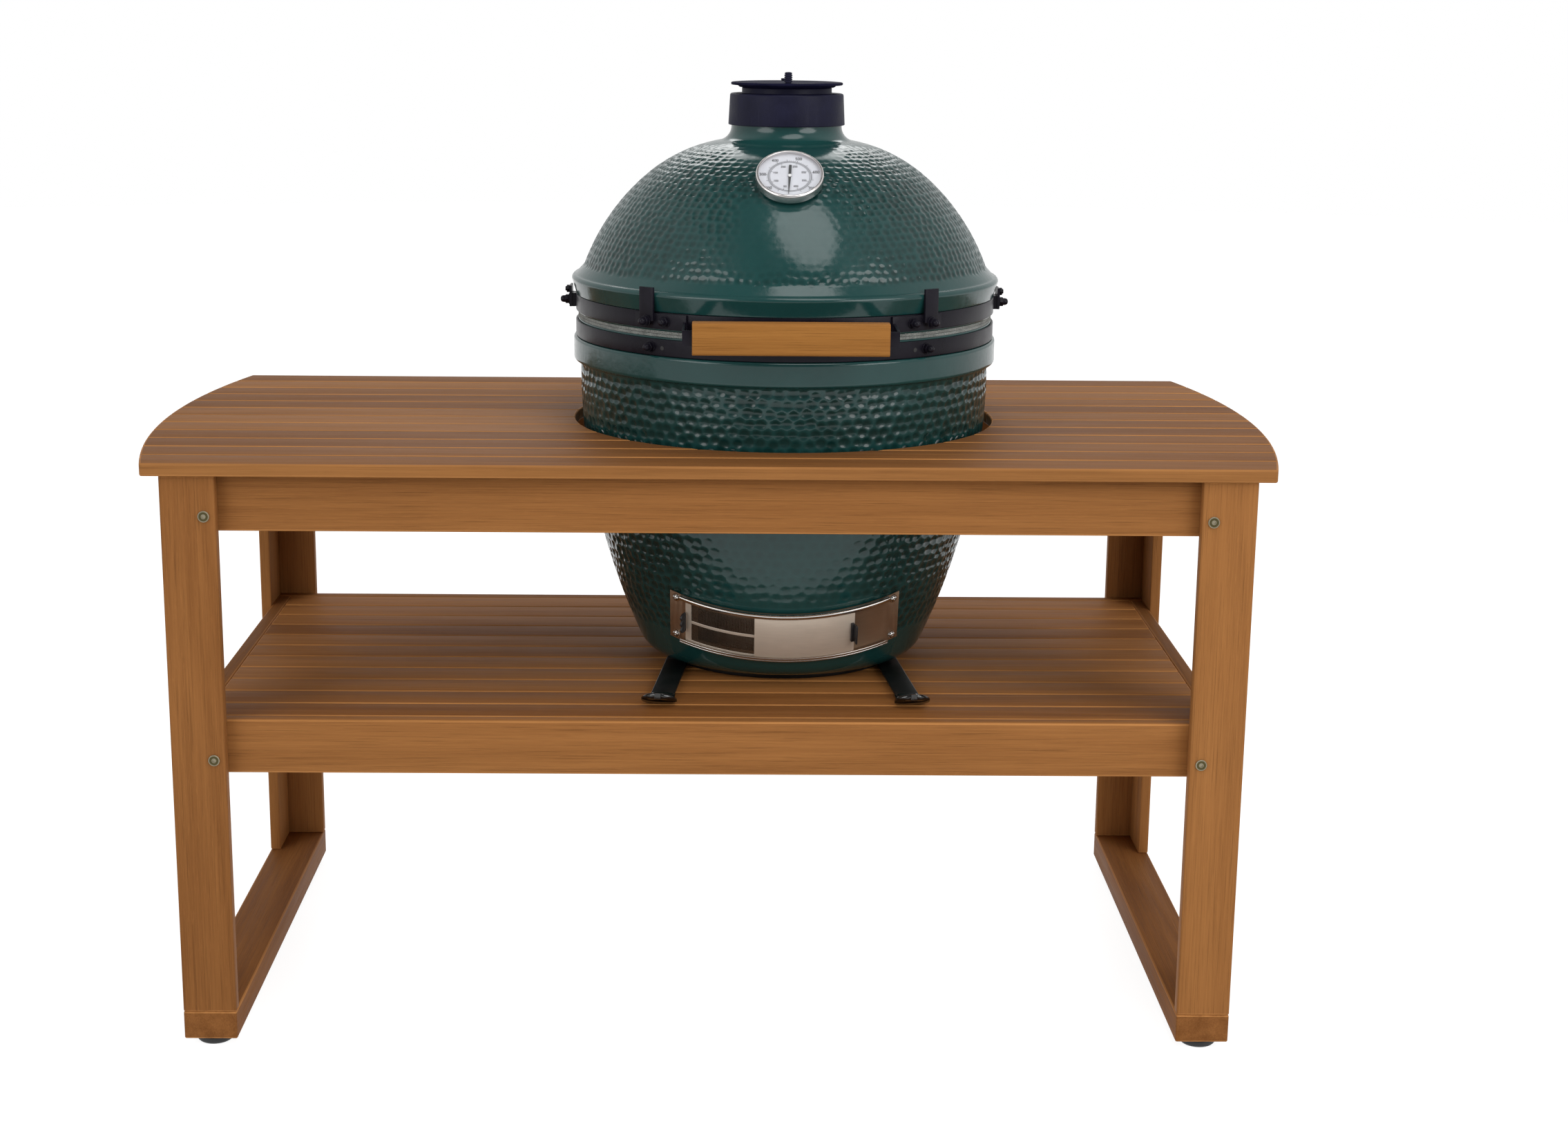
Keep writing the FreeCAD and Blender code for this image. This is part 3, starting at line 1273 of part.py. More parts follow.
needle_bore = rod("needle_bore", s.needle_pivot + s.pivot_gap, s.needle_thickness + s.cut_margin * 2,
                  z=-s.cut_margin)
needle_turned = cut("needle_cut", fuse("needle_joined", needle_hub, needle_arm), needle_bore)
needle_rest = doc.addObject("Part::Compound", "needle_rest")
needle_rest.Links = [place(needle_turned, axis=(0, 0, 1), angle=s.needle_angle)]
thermometer(needle_rest, s.dial_standoff + s.needle_rise, "thermometer_needle")

# Top cap: a cast body over the neck, and a disc that swings on a pin behind the flue

cap_foot = neck_top - s.cap_drop
cap_seat = neck_top + s.cap_plate
disc_low = cap_seat + s.cap_seat_height + s.disc_slip
disc_high = disc_low + s.disc_thickness
cap_turned = turned("cap_turned", [
    (s.neck_radius + s.cap_gap, cap_foot),
    (s.cap_foot_radius, cap_foot),
    (s.cap_top_radius, cap_seat - s.cap_chamfer),
    (s.cap_top_radius - s.cap_chamfer, cap_seat),
    (s.cap_seat_radius, cap_seat),
    (s.cap_seat_radius, cap_seat + s.cap_seat_height),
    (s.cap_bore, cap_seat + s.cap_seat_height),
    (s.cap_bore, neck_top + s.cap_gap),
    (s.neck_radius + s.cap_gap, neck_top + s.cap_gap),
])
pivot_hole = rod("pivot_hole", s.pivot_radius, s.cap_seat_height + s.cap_plate / 2, 0, s.disc_pivot,
                 cap_seat - s.cap_plate / 2)
on_kamado(cut("cap_drilled", cap_turned, pivot_hole), "cap_body")
disc_turned = turned("disc_turned", [
    (0, disc_low),
    (s.disc_radius - s.cap_chamfer, disc_low),
    (s.disc_radius, disc_low + s.cap_chamfer),
    (s.disc_radius, disc_high - s.cap_chamfer),
    (s.disc_radius - s.cap_chamfer, disc_high),
    (0, disc_high),
])
disc_bore = rod("disc_bore", s.pivot_radius + s.pivot_gap, s.disc_thickness + s.cut_margin * 2,
                0, s.disc_pivot, disc_low - s.cut_margin)
on_kamado(cut("disc_drilled", disc_turned, disc_bore), "cap_disc")
pivot_bar = rod("pivot_bar", s.pivot_radius, disc_high - cap_seat + s.cap_plate / 2 + s.pin_head_height,
                0, s.disc_pivot, cap_seat - s.cap_plate / 2)
pivot_head = rod("pivot_head", s.pivot_radius + s.pin_head_height, s.pin_head_height,
                 0, s.disc_pivot, disc_high + s.disc_slip)
on_kamado(fuse("pivot_joined", pivot_bar, pivot_head), "cap_pivot_pin")

knob = doc.addObject("PartDesign::Body", "knob")
knob_turn = knob.newObject("PartDesign::Revolution", "knob_turn")
knob_sketch = draw_outline(sketch_on(knob, "XZ_Plane", "knob_section"), [
    (0, disc_high),
    (s.knob_radius - s.knob_neck, disc_high),
    (s.knob_radius - s.knob_neck, disc_high + s.knob_groove_pitch),
    (s.knob_radius, disc_high + s.knob_groove_pitch + s.knob_groove),
    (s.knob_radius, disc_high + s.knob_height - s.knob_groove_pitch),
    (s.knob_radius - s.knob_groove_pitch, disc_high + s.knob_height),
    (0, disc_high + s.knob_height),
])
knob_turn.Profile = knob_sketch
knob_turn.ReferenceAxis = (knob_sketch, ["V_Axis"])
knob_turn.Angle = 360
knob_ring = knob.newObject("PartDesign::Groove", "knob_groove")
groove_low = disc_high + 2 * s.knob_groove_pitch
groove_sketch = draw_outline(sketch_on(knob, "XZ_Plane", "knob_groove_section"), [
    (s.knob_radius - s.knob_groove, groove_low),
    (s.knob_radius + s.knob_groove, groove_low),
    (s.knob_radius + s.knob_groove, groove_low + s.knob_groove),
    (s.knob_radius - s.knob_groove, groove_low + s.knob_groove),
])
knob_ring.Profile = groove_sketch
knob_ring.ReferenceAxis = (groove_sketch, ["V_Axis"])
knob_ring.Angle = 360
doc.recompute()
knob_rings = knob.newObject("PartDesign::LinearPattern", "knob_grooves")
knob_rings.Originals = [knob_ring]
knob_rings.Direction = (plane_of(knob, "Z_Axis"), [""])
bind(knob_rings, Length=s.knob_groove_pitch * (KNOB_GROOVES - 1))
knob_rings.Occurrences = KNOB_GROOVES
knob.Tip = knob_rings
place(knob, s.kamado_x, s.kamado_y - s.knob_reach, 0)
finished(knob, "cap_knob")

# Nest: a rolled ring under the base, on four straps that run out to broad boots with upturned toes

nest_top = base_bottom - s.fit_gap
nest_low = nest_top - s.nest_ring_height
on_kamado(turned("nest_hoop", ring_steps(s.nest_ring_radius - s.nest_ring_thickness, s.nest_ring_radius,
                                         nest_low, nest_top)), "nest_ring")

strap_high = nest_top - s.nest_strap_drop
strap_low = strap_high - s.nest_strap_thickness
boot_start = s.nest_reach - s.nest_boot_length
boot_top = strap_high + s.nest_boot_wall
toe = s.nest_toe
legs = []
for number, (x_side, y_side) in enumerate(((1, -1), (1, 1), (-1, 1), (-1, -1)), start=1):
    strap = padded(f"nest_strap_{number}", "XZ_Plane", [
        (0, strap_low),
        (boot_start, strap_low),
        (boot_start, s.shelf_height),
        (s.nest_reach - toe * 2, s.shelf_height),
        (s.nest_reach, s.shelf_height + toe * 2, toe * 2, 1),
        (s.nest_reach - toe, s.shelf_height + toe * 2),
        (s.nest_reach - toe * 2.5, boot_top),
        (boot_start, boot_top),
        (boot_start, strap_high),
        (0, strap_high),
    ], s.nest_boot_width)
    plan = padded(f"nest_plan_{number}", "XY_Plane", [
        (0, -s.nest_strap_width / 2),
        (boot_start, -s.nest_strap_width / 2),
        (boot_start, -s.nest_strap_width / 2 - s.nest_boot_wall),
        (s.nest_reach - toe, -s.nest_boot_width / 2),
        (s.nest_reach, -s.nest_strap_width / 2),
        (s.nest_reach, s.nest_strap_width / 2, s.nest_boot_width, 1),
        (s.nest_reach - toe, s.nest_boot_width / 2),
        (boot_start, s.nest_strap_width / 2 + s.nest_boot_wall),
        (boot_start, s.nest_strap_width / 2),
        (0, s.nest_strap_width / 2),
    ], s.nest_boot_length)
    place(plan, z=s.shelf_height + toe)
    shape = boolean("Common", f"nest_shape_{number}", strap, plan)
    place(shape, y=-x_side * y_side * s.nest_offset)
    holder = doc.addObject("Part::Compound", f"nest_leg_turned_{number}")
    holder.Links = [shape]
    place(holder, axis=(0, 0, 1), angle=y_side * (90 - x_side * s.nest_splay))
    clear = rod(f"nest_leg_space_{number}", s.nest_ring_radius, s.nest_ring_height * 4,
                z=nest_low - s.nest_ring_height)
    legs.append(cut(f"nest_leg_seated_{number}", holder, clear))
on_kamado(group("nest_leg_set", legs), "nest_legs")

# Every piece is recomputed and looked at before it is written

doc.recompute()
for item in doc.Objects:
    trouble = [word for word in item.State if word in ("Invalid", "Error")]
    if trouble:
        raise RuntimeError(f"{item.Name} failed to build: {trouble}")
for item in NODES:
    if item.Shape.isNull() or not item.Shape.isValid() or not item.Shape.Solids:
        raise RuntimeError(f"{item.Label} has no sound solid")
for name in ("draft_hole", "grate_drill_1", "grate_drill_2", "knob_groove"):
    feature = doc.getObject(name)
    if feature.Shape.Volume > feature.BaseFeature.Shape.Volume - 1:
        raise RuntimeError(f"{name} removes nothing")

os.makedirs("parts", exist_ok=True)
total = 0
for item in NODES:
    item.Shape.exportStep(f"parts/{item.Label}.step")
    total += len(item.Shape.Solids)
    print(f"{item.Label}: {len(item.Shape.Solids)} solids, {item.Shape.Volume / 1000:.1f} cm3")
print(f"{len(NODES)} nodes, {total} solids")
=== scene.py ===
import math

import bmesh
import bpy
import numpy as np
from mathutils import Matrix, Vector


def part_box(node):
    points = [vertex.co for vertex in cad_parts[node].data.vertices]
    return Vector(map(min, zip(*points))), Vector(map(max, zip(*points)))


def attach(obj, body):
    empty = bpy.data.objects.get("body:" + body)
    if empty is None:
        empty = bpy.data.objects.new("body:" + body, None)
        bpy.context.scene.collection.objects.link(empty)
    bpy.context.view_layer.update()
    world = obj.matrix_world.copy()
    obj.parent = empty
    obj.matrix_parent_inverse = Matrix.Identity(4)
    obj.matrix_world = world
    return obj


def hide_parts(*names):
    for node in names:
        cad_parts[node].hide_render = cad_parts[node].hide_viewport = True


bl_info = {
    "name": "Kamado grill table",
    "version": (1, 0, 0),
    "blender": (4, 5, 0),
    "location": "View3D > Sidebar > Kamado table",
    "description": "Builds the wood, glaze, steel and iron of a ceramic grill in its slatted table",
    "category": "Object",
}

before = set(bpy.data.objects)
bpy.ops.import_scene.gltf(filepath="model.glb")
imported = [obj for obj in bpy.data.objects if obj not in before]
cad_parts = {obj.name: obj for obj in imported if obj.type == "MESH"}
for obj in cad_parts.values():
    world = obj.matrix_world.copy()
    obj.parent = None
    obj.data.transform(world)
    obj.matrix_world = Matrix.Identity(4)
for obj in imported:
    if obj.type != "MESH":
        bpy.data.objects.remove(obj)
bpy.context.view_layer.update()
MM = 0.001


# Places that the frame gives. Lengths are in millimetres, and meshes come out in metres.

def node_box(node):
    """The low and high corners of a CAD node."""
    return [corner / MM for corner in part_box(node)]


BAND_LOW, BAND_HIGH = node_box("dome_band")
BAND_OUTER = (BAND_HIGH.x - BAND_LOW.x) / 2
AXIS_X = round((BAND_LOW.x + BAND_HIGH.x) / 2, 2)
AXIS_Y = round((BAND_LOW.y + BAND_HIGH.y) / 2, 2)
AXIS = Matrix.Translation((AXIS_X, AXIS_Y, 0.0))
PARTING = round(node_box("base_gasket")[1].z + 0.15, 2)


# Small builders for meshes

def linked(name, mesh, material, body, slot, *nodes):
    """Puts a mesh in the scene with its finish and its body, and hides the CAD nodes that it stands for; the
    slot is not used.
    """
    piece = bpy.data.objects.new(name, mesh)
    bpy.context.scene.collection.objects.link(piece)
    mesh.materials.append(material)
    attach(piece, body)
    if nodes:
        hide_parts(*nodes)


def mesh_of(name, bm, smooth_angle=35.0, scale=MM):
    """Turns a bmesh into a mesh that is smooth but for edges over an angle."""
    bmesh.ops.scale(bm, vec=(scale, scale, scale), verts=bm.verts)
    bmesh.ops.recalc_face_normals(bm, faces=bm.faces)
    mesh = bpy.data.meshes.new(name)
    bm.to_mesh(mesh)
    bm.free()
    mesh.shade_smooth()
    mesh.set_sharp_from_angle(angle=math.radians(smooth_angle))
    return mesh


def from_arrays(name, points, quads):
    """A smooth mesh from arrays of points and of quads."""
    mesh = bpy.data.meshes.new(name)
    mesh.from_pydata((np.asarray(points) * MM).tolist(), [], np.asarray(quads).tolist())
    mesh.update()
    mesh.shade_smooth()
    return mesh


def merged(parts):
    """One bmesh of several, and how many faces each gave."""
    whole = bmesh.new()
    counts = []
    for bm in parts:
        part = bpy.data.meshes.new("part")
        bm.to_mesh(part)
        bm.free()
        counts.append(len(part.polygons))
        whole.from_mesh(part)
        bpy.data.meshes.remove(part)
    return whole, counts


def joined(name, parts, material, body, slot, *nodes, smooth_angle=35.0):
    """Puts several bmeshes in the scene as one piece."""
    linked(name, mesh_of(name, merged(parts)[0], smooth_angle), material, body, slot, *nodes)


def chance(first, second, seed):
    """Numbers from 0 to 1 for pairs of whole numbers, the same in each run."""
    return np.modf(np.abs(np.sin(first * 12.9898 + second * 78.233 + seed * 37.719)) * 43758.5453)[0]


def give(mesh, word, values, domain="FACE"):
    """Keeps a number for each face or point of a mesh, for its finish."""
    layer = mesh.attributes.new(word, "FLOAT", domain)
    layer.data.foreach_set("value", np.asarray(values, np.float32))


def wall(bm, near, far):
    """Adds a band of faces between two rings of corners."""
    count = len(near)
    for k in range(count):
        after = (k + 1) % count
        bm.faces.new((near[k], near[after], far[after], far[k]))


def prism(bm, outline, low, high):
    """Adds an outline pushed up between two levels."""
    bottom = [bm.verts.new((x, y, low)) for x, y in outline]
    top = [bm.verts.new((x, y, high)) for x, y in outline]
    bm.faces.new(bottom[::-1])
    bm.faces.new(top)
    wall(bm, bottom, top)


def round_edges(bm, width, segments, limit):
    """Rounds the edges whose faces turn by more than an angle."""
    bm.normal_update()
    sharp = [edge for edge in bm.edges if edge.is_manifold and edge.calc_face_angle(0) > math.radians(limit)]
    if width > 0 and sharp:
        bmesh.ops.bevel(bm, geom=sharp, offset=width, segments=segments, profile=0.5, affect="EDGES",
                        clamp_overlap=True)


def rounded_prism(outline, low, high, edge, segments=3):
    """A bmesh of an outline pushed up between two levels, with its edges rounded over."""
    bm = bmesh.new()
    prism(bm, outline, low, high)
    round_edges(bm, edge, segments, 40.0)
    return bm


def plank(low_corner, high_corner, edge):
    """A rounded board between two corners."""
    (x0, y0, z0), (x1, y1, z1) = low_corner, high_corner
    return rounded_prism([(x0, y0), (x1, y0), (x1, y1), (x0, y1)], z0, z1, edge)


def edge_mark(normal, rim):
    """1 on a rounded edge in front, -1 behind, 0 on a level face and the rim's mark on an upright one: the
    teak paints a highlight where the mark is above 0 and a shade where it is below.
    """
    steep = abs(normal.z)
    if steep > 0.97:
        return 0.0
    if steep < 0.15:
        return rim
    return -1.0 if normal.y > 0.1 else 1.0


def board_mesh(name, boards, tones, rim=0.0):
    """Several boards as one mesh, each with its own tone, and with their rounded edges marked for a painted
    highlight in front and a painted shade behind.
    """
    whole, counts = merged(boards)
    mesh = mesh_of(name, whole, 40.0)
    give(mesh, "tone", np.repeat(tones, counts))
    give(mesh, "arris", [edge_mark(face.normal, rim) for face in mesh.polygons])
    return mesh


def facing(origin, way):
    """The turn and shift that put a piece's own Z along a direction, with its Y as upright as can be."""
    ahead = Vector(way).normalized()
    side = Vector((0.0, 0.0, 1.0)).cross(ahead).normalized()
    return Matrix.Translation(origin) @ Matrix((side, ahead.cross(side), ahead)).transposed().to_4x4()


def outward(degrees):
    """The level direction at an angle counted from the front towards the right."""
    angle = math.radians(degrees)
    return Vector((math.sin(angle), -math.cos(angle), 0.0))


def on_side(degrees, radius, height):
    """Where a piece stands out from the kamado at an angle."""
    way = outward(degrees)
    return facing(Vector((AXIS_X, AXIS_Y, height)) + way * radius, way)


def spun(profile, columns, turn):
    """A bmesh of a section that starts and ends on its own Z, turned about it."""
    bm = bmesh.new()
    rings = []
    for radius, rise in profile:
        angles = [2 * math.pi * k / columns for k in range(columns if radius > 0 else 1)]
        rings.append([bm.verts.new((radius * math.cos(a), radius * math.sin(a), rise)) for a in angles])
    for low, high in zip(rings, rings[1:]):
        for k in range(columns):
            spots = ((low, k), (low, k + 1), (high, k + 1), (high, k))
            corners = list(dict.fromkeys(ring[place % len(ring)] for ring, place in spots))
            if len(corners) > 2:
                bm.faces.new(corners)
    bm.transform(turn)
    return bm


def swept(profile, start, end, columns, turn):
    """A bmesh of a closed section of distances and heights, swept about its own Z between two angles."""
    bm = bmesh.new()
    rings = []
    for k in range(columns + 1):
        angle = math.radians(start + (end - start) * k / columns)
        rings.append([bm.verts.new((r * math.sin(angle), -r * math.cos(angle), z)) for r, z in profile])
    for near, far in zip(rings, rings[1:]):
        wall(bm, near, far)
    bm.faces.new(rings[0])
    bm.faces.new(rings[-1])
    bm.transform(turn)
    return bm


def ring_of(inner, outer, low, high, columns, turn=Matrix()):
    """A bmesh of a flat ring about its own Z."""
    bm = bmesh.new()
    corners = ((inner, low), (outer, low), (outer, high), (inner, high))
    rings = []
    for k in range(columns):
        angle = 2 * math.pi * k / columns
        rings.append([bm.verts.new((r * math.cos(angle), r * math.sin(angle), z)) for r, z in corners])
    for near, far in zip(rings, rings[1:] + rings[:1]):
        wall(bm, near, far)
    bm.transform(turn)
    return bm


def bar_section(half_width, half_height, middle, level, corner, steps=3):
    """A closed section of a bar with rounded corners, about a middle distance and a level."""
    points = []
    for sx, sz, first in ((1, -1, -90), (1, 1, 0), (-1, 1, 90), (-1, -1, 180)):
        for k in range(steps + 1):
            angle = math.radians(first + 90 * k / steps)
            points.append((middle + sx * (half_width - corner) + corner * math.cos(angle),
                           level + sz * (half_height - corner) + corner * math.sin(angle)))
    return points


def node_bmesh(node):
    """A bmesh of a CAD node's form, in metres, with its seams closed."""
    bm = bmesh.new()
    bm.from_mesh(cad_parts[node].data)
    bmesh.ops.remove_doubles(bm, verts=bm.verts, dist=1e-6)
    return bm


def islands(node):
    """The low and high corners of each separate solid of a CAD node."""
    bm = node_bmesh(node)
    left = set(bm.verts)
    boxes = []
    while left:
        front = [left.pop()]
        seen = list(front)
        while front:
            near = {edge.other_vert(vert) for vert in front for edge in vert.link_edges}
            front = [vert for vert in near if vert in left]
            left.difference_update(front)
            seen += front
        points = np.array([vert.co for vert in seen]) / MM
        boxes.append((points.min(0), points.max(0)))
    bm.free()
    return sorted(boxes, key=lambda box: tuple(np.round(box[0], 1)))


def softened(node, width, segments=2, limit=32.0):
    """A mesh of a CAD node's form with its sharp edges rounded over."""
    bm = node_bmesh(node)
    bmesh.ops.dissolve_limit(bm, angle_limit=math.radians(1.5), verts=bm.verts, edges=bm.edges)
    round_edges(bm, width * MM, segments, limit)
    return mesh_of(node + "_form", bm, 34.0, 1.0)


def redressed(name, node, width, material, body, slot, segments=2):
    """Puts a CAD node's form in the scene again, with its sharp edges rounded over."""
    linked(name, softened(node, width, segments), material, body, slot, node)


def arc_points(start, end, radius, side, step):
    """Points after start on the shorter arc to end; side 1 bulges to the right of the way."""
    start, end = np.array(start, float), np.array(end, float)
    chord = end - start
    half = np.linalg.norm(chord) / 2
    across = np.array([chord[1], -chord[0]]) / (2 * half) * side
    centre = (start + end) / 2 - across * math.sqrt(max(radius * radius - half * half, 0.0))
    first = math.atan2(*(start - centre)[::-1])
    last = math.atan2(*(end - centre)[::-1])
    sweep = (last - first + math.pi) % (2 * math.pi) - math.pi
    count = max(2, int(math.ceil(abs(sweep) * radius / step)))
    angles = first + sweep * np.arange(1, count + 1) / count
    return [tuple(centre + radius * np.array([math.cos(a), math.sin(a)])) for a in angles]


def section(steps, step):
    """The points of an open section: a step is a point, with a radius and a side where the way is an arc."""
    points = [tuple(steps[0][:2])]
    for way in steps[1:]:
        if len(way) > 2:
            points += arc_points(points[-1], way[:2], way[2], way[3], step)
        else:
            start, end = np.array(points[-1]), np.array(way)
            count = max(1, int(round(np.linalg.norm(end - start) / step)))
            points += [tuple(start + (end - start) * k / count) for k in range(1, count + 1)]
    return np.array(points)


def around_axis(radius, angles, height):
    """Points round the kamado's axis."""
    across, depth = AXIS_X + radius * np.sin(angles), AXIS_Y - radius * np.cos(angles)
    return np.stack([across, depth, height], -1).reshape(-1, 3)


def turned_arrays(profile, columns, closed=False):
    """Points and quads of a section turned all the way round the kamado's axis."""
    rows = len(profile)
    angles = 2 * math.pi * np.arange(columns) / columns
    points = around_axis(profile[:, :1], angles, profile[:, 1:] + 0 * angles)
    i, j = np.meshgrid(np.arange(rows if closed else rows - 1), np.arange(columns), indexing="ij")
    after, beside = (i + 1) % rows, (j + 1) % columns
    quads = [i * columns + j, i * columns + beside, after * columns + beside, after * columns + j]
    return points, np.stack(quads, -1).reshape(-1, 4)


def eased(corners, edge, closed=True):
    """A section with its corners rounded; the ends of an open one stay."""
    rounded = []
    count = len(corners)
    for index, corner in enumerate(corners):
        if not closed and index in (0, count - 1):
            rounded.append(tuple(corner))
            continue
        here = np.array(corner, float)
        before = np.array(corners[index - 1], float) - here
        after = np.array(corners[(index + 1) % count], float) - here
        reach = min(edge, np.linalg.norm(before) / 2.2, np.linalg.norm(after) / 2.2)
        a = here + before / np.linalg.norm(before) * reach
        b = here + after / np.linalg.norm(after) * reach
        for share in (0.0, 0.33, 0.67, 1.0):
            rounded.append(tuple((1 - share) ** 2 * a + 2 * share * (1 - share) * here + share ** 2 * b))
    return rounded


def hoop_mesh(name, inner, outer, low, high, edge):
    """A flat hoop round the kamado with rounded edges."""
    corners = [(inner, low), (outer, low), (outer, high), (inner, high)]
    points, quads = turned_arrays(np.array(eased(corners, edge)), 240, True)
    bm = bmesh.new()
    verts = [bm.verts.new(point) for point in points]
    for quad in quads:
        bm.faces.new([verts[k] for k in quad])
    return mesh_of(name, bm, 50.0)


# Finishes, made of nodes. Each is made once and then found by its words.

class Nodes:
    """Short ways to the nodes of one tree."""

    def __init__(self, tree):
        self.tree = tree
        tree.nodes.clear()

    def put(self, target, value):
        if isinstance(value, bpy.types.NodeSocket):
            self.tree.links.new(value, target)
        else:
            target.default_value = value

    def node(self, kind, inputs, out=0, **settings):
        """Makes a node with its settings and its inputs, and gives one of its outputs."""
        made = self.tree.nodes.new("ShaderNode" + kind)
        for word, value in settings.items():
            setattr(made, word, value)
        for socket, value in inputs.items():
            self.put(made.inputs[socket], value)
        return made.outputs[out] if made.outputs else None

    def place(self, word="Object"):
        return self.node("TexCoord", {}, word)

    def tone(self, word="tone"):
        return self.node("Attribute", {}, "Fac", attribute_name=word)

    def stretched(self, place, scale, shift=(0.0, 0.0, 0.0)):
        return self.node("Mapping", {"Vector": place, "Scale": scale, "Location": shift})

    def noise(self, place, scale=1.0, detail=3.0, roughness=0.5, distortion=0.0):
        return self.node("TexNoise", {"Vector": place, "Scale": scale, "Detail": detail,
                                      "Roughness": roughness, "Distortion": distortion}, "Fac")

    def cells(self, place, scale):
        return self.node("TexVoronoi", {"Vector": place, "Scale": scale}, "Distance")

    def sums(self, kind, *values):
        return self.node("Math", dict(enumerate(values)), operation=kind)

    def range(self, value, low, high, to_low=0.0, to_high=1.0, way="LINEAR"):
        return self.node("MapRange", {"Value": value, "From Min": low, "From Max": high, "To Min": to_low,
                                      "To Max": to_high}, interpolation_type=way)

    def mixed(self, share, first, second):
        """A mix of two colours, each a socket or a tuple."""
        first, second = (tint if isinstance(tint, bpy.types.NodeSocket) else (*tint, 1.0)
                         for tint in (first, second))
        return self.node("Mix", {0: share, 6: first, 7: second}, 2, data_type="RGBA")

    def bumped(self, height, strength, distance):
        return self.node("Bump", {"Height": height, "Strength": strength, "Distance": distance})

    def rays(self, word):
        return self.node("LightPath", {}, f"Is {word} Ray")

    def seen(self):
        """1 for what the camera sees straight, in a gloss or through glass, and 0 for the light."""
        seen = self.sums("MAXIMUM", self.rays("Camera"), self.rays("Glossy"))
        return self.sums("MAXIMUM", seen, self.rays("Transmission"))


class Shades(Nodes):
    """The nodes of one material."""

    def __init__(self, name):
        self.material = bpy.data.materials.new(name)
        self.material.use_nodes = True
        super().__init__(self.material.node_tree)

    def shader(self, **values):
        """The main shader, with its sockets filled."""
        return self.node("BsdfPrincipled", {word.replace("_", " "): value for word, value in values.items()})

    def done(self, shader):
        """The material, with this shader on its surface."""
        self.node("OutputMaterial", {"Surface": shader})
        return self.material


FINISHES = {}


def finish(maker):
    """Keeps what a finish maker has made, so that pieces of one finish share it."""
    def found(*words, **values):
        key = (maker.__name__, words, tuple(sorted(values.items())))
        if key not in FINISHES:
            FINISHES[key] = maker(*words, **values)
        return FINISHES[key]
    return found


def scaled(tint, share, plus=0.0):
    """A colour made lighter or darker."""
    return tuple(value * share + plus for value in tint)


def colour(word, share=1.0, plus=0.0):
    """A colour that the user can change, made lighter or darker."""
    return scaled(getattr(bpy.context.scene.kamado_finishes, word), share, plus)


@finish
def teak(grain, light="teak_light", dark="teak_dark", seed=0.0, lift=1.0):
    """Oiled teak whose grain runs along X, Y or Z: growth bands, fibres, open pores and a tone per board,
    with a painted highlight on front edges and a painted shade on back edges.
    """
    s = Shades(f"teak along {grain} {light} {lift}")
    tone = s.tone()
    shifts = enumerate(((7.3, 0.0), (3.9, 1.7), (5.1, 0.4)))
    shift = s.node("CombineXYZ", {axis: s.sums("MULTIPLY_ADD", tone, share, seed + start)
                                  for axis, (share, start) in shifts})
    place = s.place()

    def along(lengthwise, across):
        scale = [across] * 3
        scale["XYZ".index(grain)] = lengthwise
        return s.stretched(place, scale, shift)

    bands = s.noise(along(0.4, 8.0), 1.0, 1.0, 0.5, 0.15)
    rings = s.range(s.sums("SINE", s.sums("MULTIPLY", bands, 60.0)), -1.0, 1.0)
    streaks = s.range(s.noise(along(1.3, 60.0), 1.0, 4.0, 0.6), 0.3, 0.7)
    fibres = s.range(s.noise(along(7.0, 480.0), 1.0, 3.0, 0.65), 0.32, 0.68)
    pores = s.range(s.noise(along(11.0, 760.0), 1.0, 2.0, 0.5), 0.56, 0.7)
    flecks = s.range(s.noise(along(60.0, 1100.0), 1.0, 1.0), 0.6, 0.72)
    blotch = s.noise(along(1.6, 5.0), 1.0, 2.0)
    share = s.sums("ADD", s.sums("MULTIPLY", rings, 0.12), s.sums("MULTIPLY", streaks, 0.26))
    for part in (s.sums("MULTIPLY", fibres, 0.24), s.sums("MULTIPLY_ADD", tone, 0.62, -0.12),
                 s.sums("MULTIPLY_ADD", blotch, 0.24, -0.12)):
        share = s.sums("ADD", share, part)
    base = s.mixed(s.range(share, 0.0, 1.0), colour(dark, lift), colour(light, lift))
    base = s.mixed(s.sums("MULTIPLY", pores, 0.3), base, colour(dark, 0.45 * lift))
    base = s.mixed(s.sums("MULTIPLY", flecks, 0.12), base, colour(light, 1.3 * lift))
    # Painted highlight: rounded front edges, and upright faces that carry a rim mark, turn light orange.
    # Painted shade: rounded back edges turn dark, like the shade in the gaps between boards.
    arris = s.tone("arris")
    wear_and_edge_highlight = s.sums("MULTIPLY", s.range(arris, 0.0, 1.0), s.range(streaks, 0.0, 1.0, 0.2, 0.65))
    base = s.mixed(wear_and_edge_highlight, base, colour("teak_arris"))
    behind = s.range(s.sums("MULTIPLY", arris, -1.0), 0.0, 1.0, 0.0, 0.8)
    base = s.mixed(behind, base, colour(dark, 0.35 * lift))
    height = s.sums("ADD", s.sums("MULTIPLY", fibres, 0.5), s.sums("MULTIPLY", pores, -0.6))
    height = s.sums("ADD", height, s.sums("MULTIPLY", rings, 0.3))
    return s.done(s.shader(Base_Color=base, Roughness=s.range(fibres, 0.0, 1.0, 0.5, 0.68),
                           Specular_IOR_Level=0.08, Normal=s.bumped(height, 0.55, 0.0004)))


